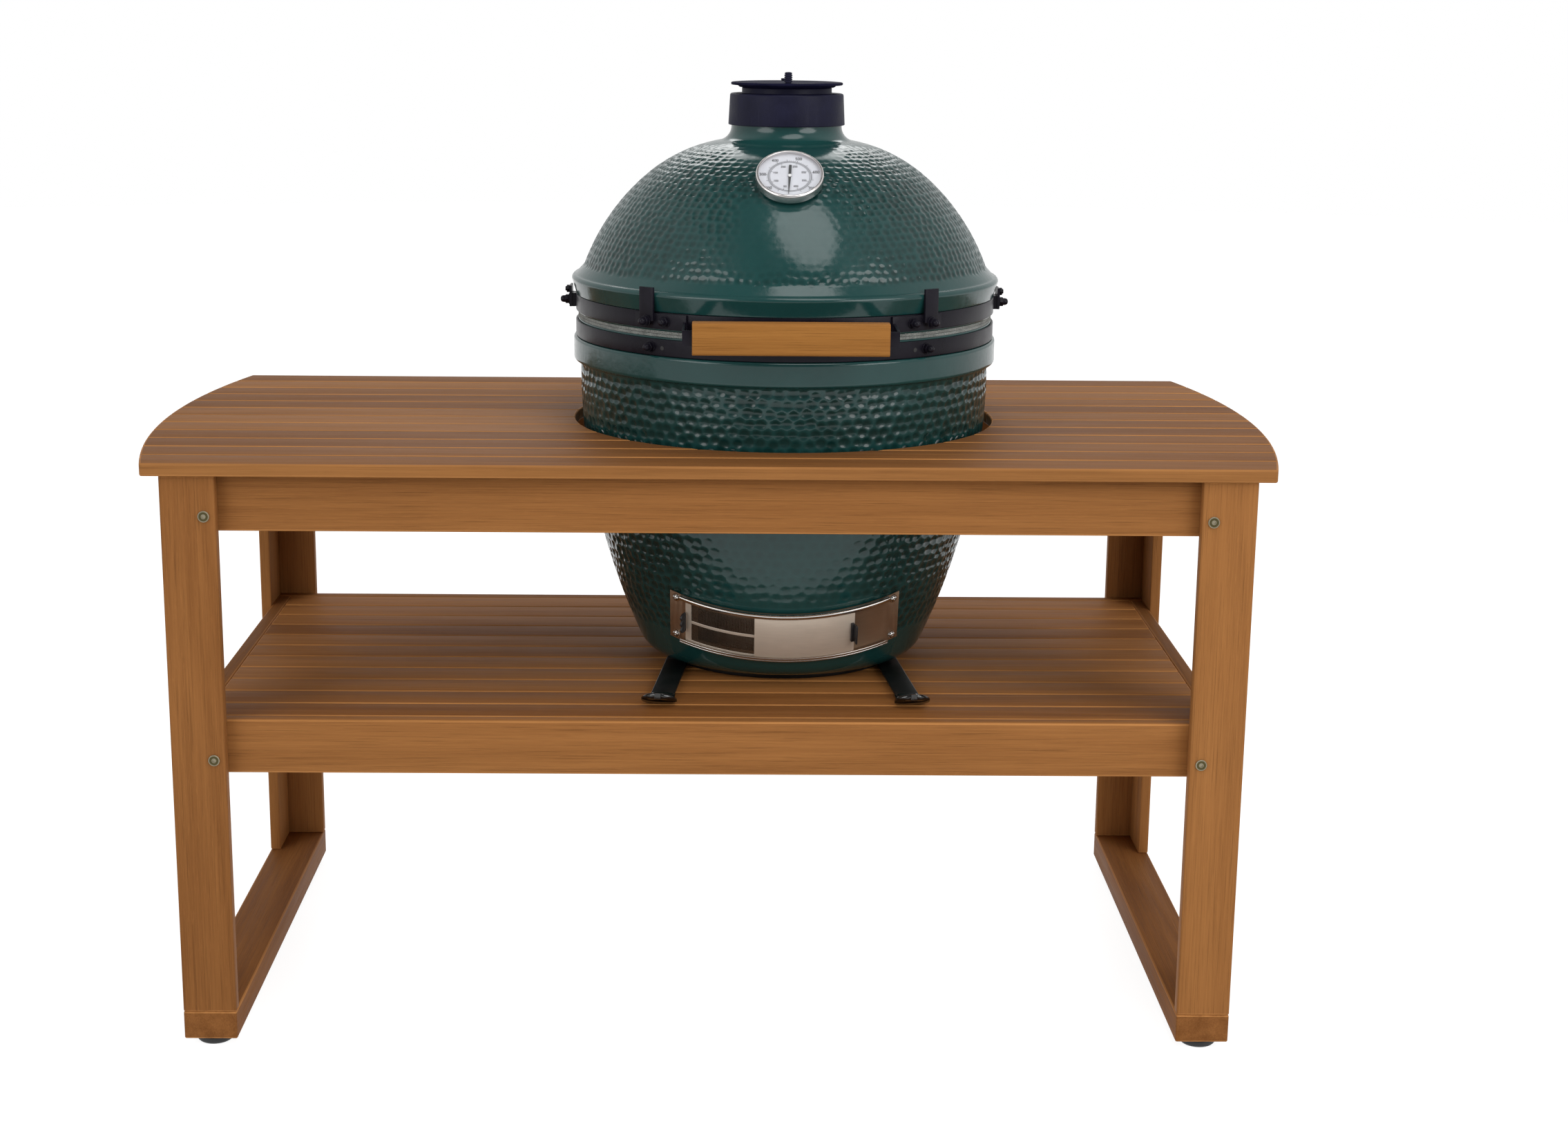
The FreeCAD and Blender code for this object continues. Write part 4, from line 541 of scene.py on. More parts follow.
@finish
def glaze():
    """Deep green glaze: darker where it pools in the hollows, lighter on the ridges, with orange peel."""
    s = Shades("green glaze")
    place = s.place()
    cloud = s.noise(place, 7.0, 4.0, 0.6)
    speck = s.noise(place, 420.0, 2.0)
    base = s.mixed(s.range(s.tone("hollow"), 0.0, 0.7), colour("glaze_ridge"), colour("glaze_pool"))
    base = s.mixed(s.range(cloud, 0.35, 0.7, 0.0, 0.35), base, colour("glaze_ridge", 1.6))
    base = s.mixed(s.range(speck, 0.62, 0.76, 0.0, 0.2), base, (0.03, 0.05, 0.04))
    peel = s.noise(place, 120.0, 2.0, 0.5)
    return s.done(s.shader(Base_Color=base, Roughness=s.range(peel, 0.3, 0.7, 0.11, 0.2),
                           Specular_IOR_Level=0.42, Normal=s.bumped(peel, 0.22, 0.0005)))


@finish
def fired_clay():
    """Bare fired clay: cream, mottled and grainy, smoked a little."""
    s = Shades("fired clay")
    place = s.place()
    mottle = s.noise(place, 14.0, 5.0, 0.65)
    grain = s.noise(place, 900.0, 3.0, 0.6)
    base = s.mixed(s.range(mottle, 0.3, 0.7), colour("clay"), colour("clay", 0.72))
    base = s.mixed(s.range(grain, 0.55, 0.75, 0.0, 0.5), base, (0.16, 0.13, 0.1))
    return s.done(s.shader(Base_Color=base, Roughness=0.85, Specular_IOR_Level=0.25,
                           Normal=s.bumped(grain, 0.4, 0.0006)))


@finish
def steel(word, rough, tint="steel", along="Z", metal=1.0):
    """Steel brushed across one axis, with faint smudges."""
    s = Shades("steel " + word)
    place = s.place()
    scale = [35.0] * 3
    scale["XYZ".index(along)] = 1600.0
    brush = s.noise(s.stretched(place, scale), 1.0, 3.0, 0.6)
    smudge = s.noise(place, 22.0, 3.0, 0.6)
    base = s.mixed(s.range(brush, 0.3, 0.7), colour(tint, 0.88), colour(tint))
    base = s.mixed(s.range(smudge, 0.45, 0.8, 0.0, 0.25), base, colour(tint, 0.7))
    brushed = s.range(brush, 0.2, 0.8, rough * 0.75, rough * 1.25)
    smudged = s.range(smudge, 0.3, 0.8, 0.0, 0.06)
    return s.done(s.shader(Base_Color=base, Metallic=metal, Roughness=s.sums("ADD", brushed, smudged),
                           Normal=s.bumped(brush, 0.12, 0.0002)))


@finish
def felt():
    """Dense pale felt with stray fibres and sooty patches."""
    s = Shades("felt")
    place = s.place()
    fuzz = s.noise(place, 700.0, 4.0, 0.7)
    clump = s.noise(place, 70.0, 3.0)
    base = s.mixed(s.range(fuzz, 0.35, 0.7), (0.10, 0.11, 0.10), (0.48, 0.50, 0.47))
    base = s.mixed(s.range(clump, 0.45, 0.75, 0.0, 0.5), base, (0.05, 0.06, 0.055))
    return s.done(s.shader(Base_Color=base, Roughness=0.95, Sheen_Weight=0.3, Sheen_Roughness=0.5,
                           Specular_IOR_Level=0.1, Normal=s.bumped(fuzz, 0.9, 0.0012)))


@finish
def painted_iron(word, rough, tint="iron", grain=260.0, depth=0.0005, shine=0.4):
    """Cast or rolled iron under a satin coat, with the mould's fine grain."""
    s = Shades("painted iron " + word)
    place = s.place()
    cast = s.noise(place, grain, 4.0, 0.6)
    pit = s.cells(place, grain * 0.8)
    wear_and_edge_highlight = s.noise(place, 30.0, 4.0, 0.6)
    base = s.mixed(s.range(wear_and_edge_highlight, 0.35, 0.7), colour(tint), colour(tint, 1.5, 0.002))
    base = s.mixed(s.range(cast, 0.6, 0.8, 0.0, 0.3), base, colour(tint, 0.5))
    height = s.sums("ADD", cast, s.sums("MULTIPLY", pit, 0.35))
    return s.done(s.shader(Base_Color=base, Roughness=s.range(wear_and_edge_highlight, 0.3, 0.7, rough * 0.85, rough * 1.2),
                           Specular_IOR_Level=shine, Normal=s.bumped(height, 0.35, depth)))


def black_coat(word, rough):
    """The thin black coat of the bands, the handle's brackets and the hinge."""
    return painted_iron(word, rough, "band_black", 420.0, 0.0002, 0.14)


@finish
def moulded_plastic(word):
    """Black moulded plastic with a fine sparked grain and a few scuffs."""
    s = Shades("moulded plastic " + word)
    place = s.place()
    spark = s.cells(place, 1400.0)
    scuff = s.noise(s.stretched(place, (60.0, 60.0, 500.0)), 1.0, 3.0)
    base = s.mixed(s.range(scuff, 0.5, 0.75, 0.0, 0.5), colour("plastic"), colour("plastic", 2.6, 0.01))
    return s.done(s.shader(Base_Color=base, Roughness=s.range(scuff, 0.3, 0.8, 0.42, 0.62),
                           Specular_IOR_Level=0.45, Normal=s.bumped(spark, 0.2, 0.0002)))


@finish
def enamel(word, tint):
    """A thin printed or stoved enamel with a slight unevenness."""
    s = Shades("enamel " + word)
    place = s.place()
    drift = s.noise(place, 60.0, 3.0)
    base = s.mixed(s.range(drift, 0.3, 0.7), tint, scaled(tint, 0.93))
    return s.done(s.shader(Base_Color=base, Roughness=s.range(drift, 0.3, 0.7, 0.3, 0.38),
                           Specular_IOR_Level=0.4, Normal=s.bumped(s.noise(place, 700.0, 2.0), 0.05, 0.0002)))


@finish
def lens_glass():
    """Thin window glass with a faint ripple and a trace of dust."""
    s = Shades("lens glass")
    place = s.place()
    ripple = s.noise(place, 30.0, 2.0)
    dust = s.noise(place, 260.0, 3.0)
    tint = s.mixed(s.range(dust, 0.5, 0.7), (0.6, 0.62, 0.64), (0.8, 0.8, 0.8))
    return s.done(s.shader(Base_Color=tint, Roughness=0.03, Specular_IOR_Level=0.9, Alpha=0.05,
                           Normal=s.bumped(ripple, 0.02, 0.0002)))


def floor_paper():
    """White paper: a plain diffuse floor for the light, and a white one with a faint shadow for the eye."""
    s = Shades("floor paper")
    grain = s.noise(s.place(), 3.0, 2.0)
    tint = s.mixed(s.range(grain, 0.3, 0.7), (0.80, 0.80, 0.80), (0.78, 0.78, 0.78))
    paper = s.shader(Base_Color=tint, Roughness=0.9, Specular_IOR_Level=0.1)
    glow = s.node("Emission", {"Strength": 0.9})
    plain = s.node("BsdfDiffuse", {"Color": (0.3, 0.3, 0.3, 1.0)})
    shown = s.node("AddShader", {0: glow, 1: plain})
    return s.done(s.node("MixShader", {0: s.seen(), 1: paper, 2: shown}))


def dress(node, material):
    """Gives a CAD node that stays its finish."""
    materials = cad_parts[node].data.materials
    if not materials:
        materials.append(material)
    for index in range(len(materials)):
        materials[index] = material


# What the user can change

def length(name, description, default):
    return bpy.props.FloatProperty(name=name, description=description, default=default, unit="LENGTH",
                                   subtype="DISTANCE", min=0.0, precision=4)


def paint(name, description, default):
    return bpy.props.FloatVectorProperty(name=name, description=description, default=default, size=3,
                                         subtype="COLOR", min=0.0, max=1.0)


class KamadoSizes(bpy.types.PropertyGroup):
    """Sizes of what the scene adds to the frame"""

    board_edge: length("Board edge", "Rounding of the boards' edges", 0.0026)
    slat_gap: length("Slat gap", "Gap between the worktop's boards", 0.002)
    base_hollow: length("Base hollow", "Width of a hollow in the base's skin", 0.0160)
    dome_hollow: length("Dome hollow", "Width of a hollow in the dome's skin", 0.012)
    base_depth: length("Base hollow depth", "Depth of a hollow in the base's skin", 0.0015)
    dome_depth: length("Dome hollow depth", "Depth of a hollow in the dome's skin", 0.0013)
    skin_step: length("Skin step", "Distance between the rows of the ceramic's skin", 0.0018)
    mesh_pitch: length("Screen pitch", "Distance between the wires of the draft screen", 0.0022)
    wire_width: length("Screen wire", "Width of a wire of the draft screen", 0.0006)


class KamadoFinishes(bpy.types.PropertyGroup):
    """Colours of the finishes"""

    teak_light: paint("Light teak", "Lightest colour of the boards", (0.40, 0.172, 0.052))
    teak_dark: paint("Dark teak", "Darkest colour of the boards", (0.172, 0.062, 0.016))
    # The colour of the painted highlight on the boards' front edges and upright faces.
    teak_arris: paint("Teak arris", "Rounded edges of the boards", (0.60, 0.27, 0.085))
    glaze_ridge: paint("Glaze on ridges", "Glaze where it is thin", (0.009, 0.046, 0.044))
    glaze_pool: paint("Glaze in hollows", "Glaze where it pools", (0.002, 0.019, 0.017))
    clay: paint("Fired clay", "Bare clay inside the grill", (0.52, 0.46, 0.38))
    steel: paint("Steel", "Draft tracks, screws, stem and cooking grid", (0.60, 0.59, 0.57))
    bezel: paint("Bezel", "Thermometer's case", (0.80, 0.76, 0.75))
    door_steel: paint("Door steel", "Sliding draft door", (0.66, 0.57, 0.47))
    plate_steel: paint("Plate steel", "Fixed plate of the draft door", (0.37, 0.255, 0.17))
    iron: paint("Iron", "Coat of the cast cap", (0.006, 0.006, 0.019))
    band_black: paint("Band black", "Coat of the bands, brackets and nuts", (0.006, 0.005, 0.009))
    nest: paint("Nest", "Coat of the nest's bars", (0.006, 0.006, 0.006))
    wire_steel: paint("Wire steel", "Wires of the draft screen", (0.24, 0.205, 0.165))
    bolt_head: paint("Bolt head", "Heads of the frame bolts", (0.34, 0.30, 0.21))
    # The brass is darkened as painted shade in the recess of each bolt's head.
    brass: paint("Brass", "Ring inside a bolt's head", (0.10, 0.085, 0.04))
    plastic: paint("Plastic", "Floor glides and finger tabs", (0.014, 0.014, 0.015))
    grip_light: paint("Light grip", "Lightest colour of the wooden grip", (0.375, 0.165, 0.04))
    grip_dark: paint("Dark grip", "Darkest colour of the wooden grip", (0.19, 0.068, 0.012))


# Worktop, shelf and frame: boards laid side by side

TOP_SLATS, SHELF_SLATS = 12, 11
HALF_DEPTH = 375.0
HALF_CORNER, HALF_LENGTH = 724.5, 769.0
HOLE_RADIUS = 297.0
TOP_LOW, TOP_HIGH = 783.0, 800.0
SHELF_GAP, SHELF_EDGE = 2.0, 2.6
BEAM_EDGE = 2.4
BEAMS = {
    "X": ["front_apron", "back_apron", "shelf_front_rail", "shelf_back_rail"],
    "Y": ["left_end_apron", "right_end_apron", "shelf_left_cleat", "shelf_right_cleat", "foot_rail_left",
          "foot_rail_right"],
    "Z": [f"leg_{end}_{side}_{board}" for end in ("front", "back") for side in ("left", "right")
          for board in ("face", "side")],
}
# Tones per beam, partly painted light: the back legs are lighter to lift the shade they stand in, and the
# front left leg is darker than the right as painted shade.
BEAM_TONES_AND_LIGHT = {"leg_front_left": 0.3, "leg_front_right": 0.72, "leg_back": 0.75, "foot_rail": 0.12,
              "front_apron": 0.5, "shelf_front_rail": 0.62, "shelf_left": 0.15, "shelf_right": 0.15}
PLAIN_TONE = 0.4


def between(low, high, count):
    """Evenly spaced numbers from one to another, both ends included."""
    return [low + (high - low) * k / count for k in range(count + 1)]


def bow_end(y):
    """How far the bowed end of the top reaches at a distance from the middle line."""
    bow = HALF_LENGTH - HALF_CORNER
    arc = (HALF_DEPTH ** 2 + bow ** 2) / (2 * bow)
    return HALF_LENGTH - arc + math.sqrt(arc * arc - y * y)


def half_chord(y):
    """Half the width of the worktop's hole at a distance from the middle line."""
    return math.sqrt(max(HOLE_RADIUS ** 2 - (y - AXIS_Y) ** 2, 0.0))


def notch(y, side, steps):
    """Points on the hole's rim in front of (-1) or behind (1) the chord at a distance from the middle."""
    tip = math.asin(half_chord(y) / HOLE_RADIUS)
    turns = [-side * tip * (1 - 2 * k / steps) for k in range(steps + 1)]
    return [(AXIS_X + HOLE_RADIUS * math.sin(a), AXIS_Y + side * HOLE_RADIUS * math.cos(a)) for a in turns]


def top_outlines(low, high):
    """The outlines of the one or two boards between two distances from the middle line."""
    ys = between(low, high, 4)
    right = [(bow_end(y), y) for y in ys]
    left = [(-bow_end(y), y) for y in reversed(ys)]
    front, back = AXIS_Y - HOLE_RADIUS, AXIS_Y + HOLE_RADIUS
    if high <= front or low >= back:
        return [right + left]
    if low < front:
        return [right + notch(high, -1, 24) + left]
    if high > back:
        return [right + left + notch(low, 1, 16)]
    many = between(low, high, 10)
    near_left = [(AXIS_X - half_chord(y), y) for y in many]
    near_right = [(AXIS_X + half_chord(y), y) for y in reversed(many)]
    return [near_left + left, right + near_right]


class KAMADO_OT_worktop(bpy.types.Operator):
    """Lays the boards of the worktop round the grill"""

    bl_idname = "kamado.worktop"
    bl_label = "Worktop"

    def execute(self, context):
        sizes = context.scene.kamado_sizes
        gap = sizes.slat_gap / MM
        pitch = 2 * HALF_DEPTH / TOP_SLATS
        boards = []
        for index in range(TOP_SLATS):
            low = pitch * index - HALF_DEPTH + (gap / 2 if index else 0)
            high = pitch * (index + 1) - HALF_DEPTH - (gap / 2 if index < TOP_SLATS - 1 else 0)
            boards += [rounded_prism(outline, TOP_LOW, TOP_HIGH, sizes.board_edge / MM)
                       for outline in top_outlines(low, high)]
        tones = [chance(index + 1, 3, 0) for index in range(len(boards))]
        # A rim mark of 0.6 gives the worktop's upright faces part of the painted highlight.
        mesh = board_mesh("worktop_boards", boards, tones, 0.6)
        # The worktop's teak is a darker copy, lift 0.74: painted shade that tones down the light on its top.
        linked("worktop_boards", mesh, teak("X", lift=0.74), "table", "teak", "top_slats")
        return {"FINISHED"}


class KAMADO_OT_shelf(bpy.types.Operator):
    """Lays the boards of the shelf"""

    bl_idname = "kamado.shelf"
    bl_label = "Shelf"

    def execute(self, context):
        low, high = node_box("shelf_slats")
        pitch = (high.y - low.y + SHELF_GAP) / SHELF_SLATS
        starts = [low.y + pitch * k for k in range(SHELF_SLATS + 1)]
        boards = [plank((low.x, start, low.z), (high.x, after - SHELF_GAP, high.z), SHELF_EDGE)
                  for start, after in zip(starts, starts[1:])]
        tones = [chance(index + 1, 11, 0) for index in range(SHELF_SLATS)]
        mesh = board_mesh("shelf_boards", boards, tones)
        # The shelf's teak is a lighter copy, lift 1.12: painted light on the boards that stand in the
        # worktop's shade.
        linked("shelf_boards", mesh, teak("X", seed=4.0, lift=1.12), "table", "teak", "shelf_slats")
        return {"FINISHED"}


class KAMADO_OT_frame(bpy.types.Operator):
    """Makes the aprons, rails, legs and foot rails, and dresses the bearers"""

    bl_idname = "kamado.frame"
    bl_label = "Table frame"

    def execute(self, context):
        for grain, nodes in BEAMS.items():
            for node in nodes:
                tone = next((BEAM_TONES_AND_LIGHT[word] for word in BEAM_TONES_AND_LIGHT if node.startswith(word)), PLAIN_TONE)
                mesh = board_mesh(node + "_board", [plank(*node_box(node), BEAM_EDGE)], [tone])
                linked(node + "_board", mesh, teak(grain, seed=2.0), "table", "teak", node)
        for node in ("top_bearers", "shelf_bearers"):
            dress(node, teak("Y", seed=6.0))
        return {"FINISHED"}


class KAMADO_OT_bolts(bpy.types.Operator):
    """Makes the frame's socket bolts, their nuts and the floor glides"""

    bl_idname = "kamado.bolts"
    bl_label = "Bolts and glides"

    def execute(self, context):
        metal = steel("bolt", 0.42, "bolt_head", along="X", metal=0.8)
        head_height = 2.5
        heads, seats = [], []
        for low, high in islands("frame_bolts"):
            side = -1.0 if low[1] + high[1] < 0 else 1.0
            middle = (low + high) / 2
            face = high[1] if side > 0 else low[1]
            radius = (high[0] - low[0]) / 2
            turn = facing(Vector((middle[0], face - side * head_height, middle[2])), (0.0, side, 0.0))
            shank = high[1] - low[1] - head_height
            heads.append(spun([(0, -shank), (2.6, -shank), (3, 0.6 - shank), (3, 0), (radius - 0.5, 0),
                               (radius, 0.5), (radius, 1.8), (radius - 0.5, 2.4), (radius - 1.2, 2.4),
                               (radius - 1.5, 1.7), (3.1, 1.7), (2.9, 2.1), (2.3, 2.1), (2.1, 0.8), (0, 0.8)],
                              48, turn))
            # The seat ring sits in the head's groove, in a darkened brass that paints the recess's shade.
            seats.append(ring_of(3.2, radius - 1.6, 1.5, 1.85, 48, turn))
        joined("bolt_heads", heads, metal, "table", "frame_steel", "frame_bolts")
        joined("bolt_seats", seats, steel("seat", 0.42, "brass", along="X"), "table", "frame_steel")
        redressed("bolt_nuts", "frame_nuts", 0.4, metal, "table", "frame_steel")
        redressed("floor_glides", "glides", 0.8, moulded_plastic("glide"), "table", "glide_plastic")
        return {"FINISHED"}


# Ceramic: the skins are fine meshes with the hollows pressed into them

SKIN_COLUMNS = 1008
INSIDE_STEP = 7.0
WALL = 28.0
MOUTH, SEAT_EASE, SEAT = 262.0, 289.0, 291.7
BASE_RIM, DOME_RIM = PARTING - 4.15, PARTING + 4.15
SHELF_TOP = 454.0
BASE_BOTTOM, FOOT_TOP = 462.5, 485.0
FLOOR_TOP = BASE_BOTTOM + WALL
BELLY_ARC = 930.0
WAIST, WAIST_RADIUS = 870.0, 288.5
LIP_LOW, LIP_HIGH = 884.5, 918.0
LIP_RADIUS, LIP_ROUND = 298.0, 3.5
WINDOW = (-118.35, 4.26, 506.5, 562.5)
DRAFT_HEIGHT = PARTING - 415.0
HOOK_ANGLE = 38.4
DOME_LIP, DOME_LIP_RADIUS, DOME_LIP_ROUND = PARTING + 50.5, 300.5, 6.0
HOOK_OUTER = DOME_LIP_RADIUS + 0.3 + 3.5
DOME_ARC = 302.4
DOME_FOOT, DOME_FOOT_RADIUS = PARTING + 69.1, 283.0
SHOULDER_RADIUS = 197.3
DOME_CENTRE = DOME_FOOT - math.sqrt(DOME_ARC ** 2 - DOME_FOOT_RADIUS ** 2)
DOME_SHOULDER = DOME_CENTRE + math.sqrt(DOME_ARC ** 2 - SHOULDER_RADIUS ** 2)
CROWN, CROWN_RADIUS = PARTING + 241.5, 93.3
NECK_TOP, NECK_RADIUS, FLUE_RADIUS = PARTING + 292.5, 77.0, 52.0

HOLLOW_HEIGHT = 0.82
HOLLOW_SHIFT = 0.34
HOLLOW_SIZE = (0.47, 0.13)
HOLLOW_STRENGTH = (0.75, 0.4)


def belly_radius(height, inset=0.0):
    """How far the belly reaches at a height, or a surface that lies further in."""
    drop = WAIST - height
    return WAIST_RADIUS - BELLY_ARC + math.sqrt((BELLY_ARC - inset) ** 2 - drop * drop)


def pressed(profile, wide, depth, cover):
    """Presses irregular hollows into a turned skin. Cover says how deep one is at an angle and a height."""
    quads = turned_arrays(profile, SKIN_COLUMNS)[1]
    tall = wide * HOLLOW_HEIGHT
    way = np.gradient(profile, axis=0)
    way /= np.linalg.norm(way, axis=1)[:, None] + 1e-12
    run = np.concatenate([[0.0], np.cumsum(np.linalg.norm(np.diff(profile, axis=0), axis=1))])
    angles = 2 * math.pi * np.arange(SKIN_COLUMNS) / SKIN_COLUMNS
    hollow = np.zeros((len(profile), SKIN_COLUMNS))
    for above in (-1.0, 0.0, 1.0):
        line = np.floor(run / tall)[:, None] + above
        middle = np.clip((line + 0.5) * tall, 0.0, run[-1])
        radius = np.interp(middle, run, profile[:, 0])
        height = np.interp(middle, run, profile[:, 1])
        number = np.maximum(np.round(2 * math.pi * radius / wide), 3.0)
        phase = 0.5 * (line % 2) + 0.3 * chance(line, 0.0, 1.0)
        turns = angles[None, :] / (2 * math.pi) * number + phase
        for beside in (-1.0, 0.0, 1.0):
            index = np.floor(turns) + beside
            key = np.mod(index, number)
            shift = 0.5 + (chance(key, line, 2.0) - 0.5) * HOLLOW_SHIFT
            lift = (chance(key, line, 3.0) - 0.5) * HOLLOW_SHIFT
            size = HOLLOW_SIZE[0] + HOLLOW_SIZE[1] * chance(key, line, 4.0)
            strength = HOLLOW_STRENGTH[0] + HOLLOW_STRENGTH[1] * chance(key, line, 5.0)
            across = (turns - index - shift) / size
            up = (run[:, None] - middle - lift * tall) / (size * tall)
            place = (index + shift - phase) / number * 2 * math.pi
            bowl = np.clip(1.0 - across * across - up * up, 0.0, 1.0) * strength * cover(place, height)
            hollow = np.maximum(hollow, bowl)
    radius = profile[:, :1] - way[:, 1:] * depth * hollow
    height = profile[:, 1:] + way[:, :1] * depth * hollow
    return around_axis(radius, angles, height), quads, np.clip(hollow, 0.0, 1.0).reshape(-1)


def rising(value, low, high):
    """0 below one number, 1 above another, and smooth between them."""
    share = np.clip((value - low) / (high - low), 0.0, 1.0)
    return share * share * (3 - 2 * share)


def falling(value, low, high):
    """1 below one number, 0 above another, and smooth between them."""
    return 1 - rising(value, low, high)


def aside(angle):
    """How far an angle lies from the front, in degrees."""
    return np.abs(np.degrees((angle + math.pi) % (2 * math.pi) - math.pi))


def base_cover(angle, height):
    """Full hollows but on the lip and the smooth foot, and shallow ones at the front above the draft door."""
    whole = rising(height, 512.0, 536.0) * falling(height, 874.0, 882.0)
    front = falling(aside(angle), 16.0, 34.0) * falling(height, 690.0, 740.0)
    door = falling(aside(angle), 38.0, 46.0) * falling(height, 566.0, 590.0)
    return whole * (1 - 0.72 * front) * (1 - door)


def dome_cover(angle, height):
    """No hollows on the lip and below the cap, faint ones below the thermometer, shallow ones in front."""
    across = aside(angle) * math.radians(1.0) * 265.0
    field = falling(across, 60.0, 118.0) * falling(np.abs(height - 1078.0), 34.0, 62.0)
    crown = falling(aside(angle), 24.0, 40.0) * rising(height, 1158.0, 1172.0)
    up = rising(height, 1012.0, 1022.0) * falling(height, 1176.0, 1188.0)
    brow = falling(aside(angle), 30.0, 50.0) * falling(height, 1070.0, 1120.0)
    return up * (1 - 0.92 * field) * (1 - crown) * (1 - 0.4 * brow)


def glazed(name, points, quads, hollow, body, node):
    """Puts a glazed skin in the scene, with its hollows marked for the glaze."""
    mesh = from_arrays(name, points, quads)
    give(mesh, "hollow", hollow, "POINT")
    linked(name, mesh, glaze(), body, "green_glaze", node)


def bare(name, points, quads, body):
    """Puts an unglazed face of the ceramic in the scene."""
    linked(name, from_arrays(name, points, quads), fired_clay(), body, "green_glaze")


def open_window(points, quads, profile):
    """Takes the faces over the draft opening out of a skin and straightens the edge that is left."""
    left, right, low, high = WINDOW
    local = points - np.array([AXIS_X, AXIS_Y, 0.0])
    centre = local[quads].mean(1)
    inside = ((centre[:, 0] > left) & (centre[:, 0] < right) & (centre[:, 2] > low) & (centre[:, 2] < high)
              & (centre[:, 1] < 0))
    kept, gone = quads[~inside], quads[inside]
    by_height = profile[np.argsort(profile[:, 1])]
    for index in np.intersect1d(np.unique(kept), np.unique(gone)):
        x, y, z = local[index]
        side = int(np.argmin([abs(x - left), abs(x - right), abs(z - low), abs(z - high)]))
        radius = math.hypot(x, y)
        if side < 2:
            x = (left, right)[side]
            y = -math.sqrt(radius * radius - x * x)
        else:
            z = (low, high)[side - 2]
            reach = np.interp(z, by_height[:, 1], by_height[:, 0])
            if abs(reach - radius) < 12:
                x, y = x * reach / radius, y * reach / radius
        points[index] = (AXIS_X + x, AXIS_Y + y, z)
    return points, kept


def tunnel_mesh():
    """The four walls of the opening through the ceramic."""
    left, right, low, high = WINDOW
    corners = [(left, low), (right, low), (right, high), (left, high)]
    rim = [(x0 + (x1 - x0) * k / 12, z0 + (z1 - z0) * k / 12)
           for (x0, z0), (x1, z1) in zip(corners, corners[1:] + corners[:1]) for k in range(12)]
    bm = bmesh.new()
    rings = []
    for inset in (0.6, WALL - 0.4):
        points = [(AXIS_X + x, AXIS_Y - math.sqrt((belly_radius(z) - inset) ** 2 - x * x), z) for x, z in rim]
        rings.append([bm.verts.new(point) for point in points])
    wall(bm, *rings)
    return mesh_of("draft_tunnel", bm, 30.0)


class KAMADO_OT_base(bpy.types.Operator):
    """Makes the glazed base with its draft opening, and its bare inside"""

    bl_idname = "kamado.base"
    bl_label = "Base"

    def execute(self, context):
        sizes = context.scene.kamado_sizes
        slope = (WAIST - FOOT_TOP) / BELLY_ARC
        foot_round = (FOOT_TOP - BASE_BOTTOM) / (1 - slope)
        foot_flat = belly_radius(FOOT_TOP) - foot_round * math.sqrt(1 - slope * slope)
        foot_start = foot_flat - 60
        outer = section([(foot_start, BASE_BOTTOM), (foot_flat, BASE_BOTTOM),
                         (belly_radius(FOOT_TOP), FOOT_TOP, foot_round, 1),
                         (WAIST_RADIUS, WAIST, BELLY_ARC, 1), (WAIST_RADIUS, LIP_LOW - 4),
                         (WAIST_RADIUS + 4, LIP_LOW, 4, -1),
                         (LIP_RADIUS - LIP_ROUND, LIP_LOW), (LIP_RADIUS, LIP_LOW + LIP_ROUND, LIP_ROUND, 1),
                         (LIP_RADIUS, LIP_HIGH - LIP_ROUND), (LIP_RADIUS - LIP_ROUND, LIP_HIGH, LIP_ROUND, 1),
                         (SEAT, LIP_HIGH), (SEAT, BASE_RIM - 0.05), (SEAT_EASE, BASE_RIM)],
                        sizes.skin_step / MM)
        points, quads, hollow = pressed(outer, sizes.base_hollow / MM, sizes.base_depth / MM, base_cover)
        points, quads = open_window(points, quads, outer)
        glazed("base_glaze", points, quads, hollow, "table", "base_shell")
        inner = section([(SEAT_EASE, BASE_RIM), (MOUTH, BASE_RIM), (WAIST_RADIUS - WALL, WAIST),
                         (belly_radius(FLOOR_TOP, WALL), FLOOR_TOP, BELLY_ARC - WALL, -1), (1.0, FLOOR_TOP)],
                        INSIDE_STEP)
        bare("base_inside", *open_window(*turned_arrays(inner, SKIN_COLUMNS // 2), inner), "table")
        under = section([(1.0, BASE_BOTTOM), (foot_start, BASE_BOTTOM)], 30.0)
        bare("base_underside", *turned_arrays(under, 120), "table")
        linked("draft_tunnel", tunnel_mesh(), fired_clay(), "table", "green_glaze")
        return {"FINISHED"}


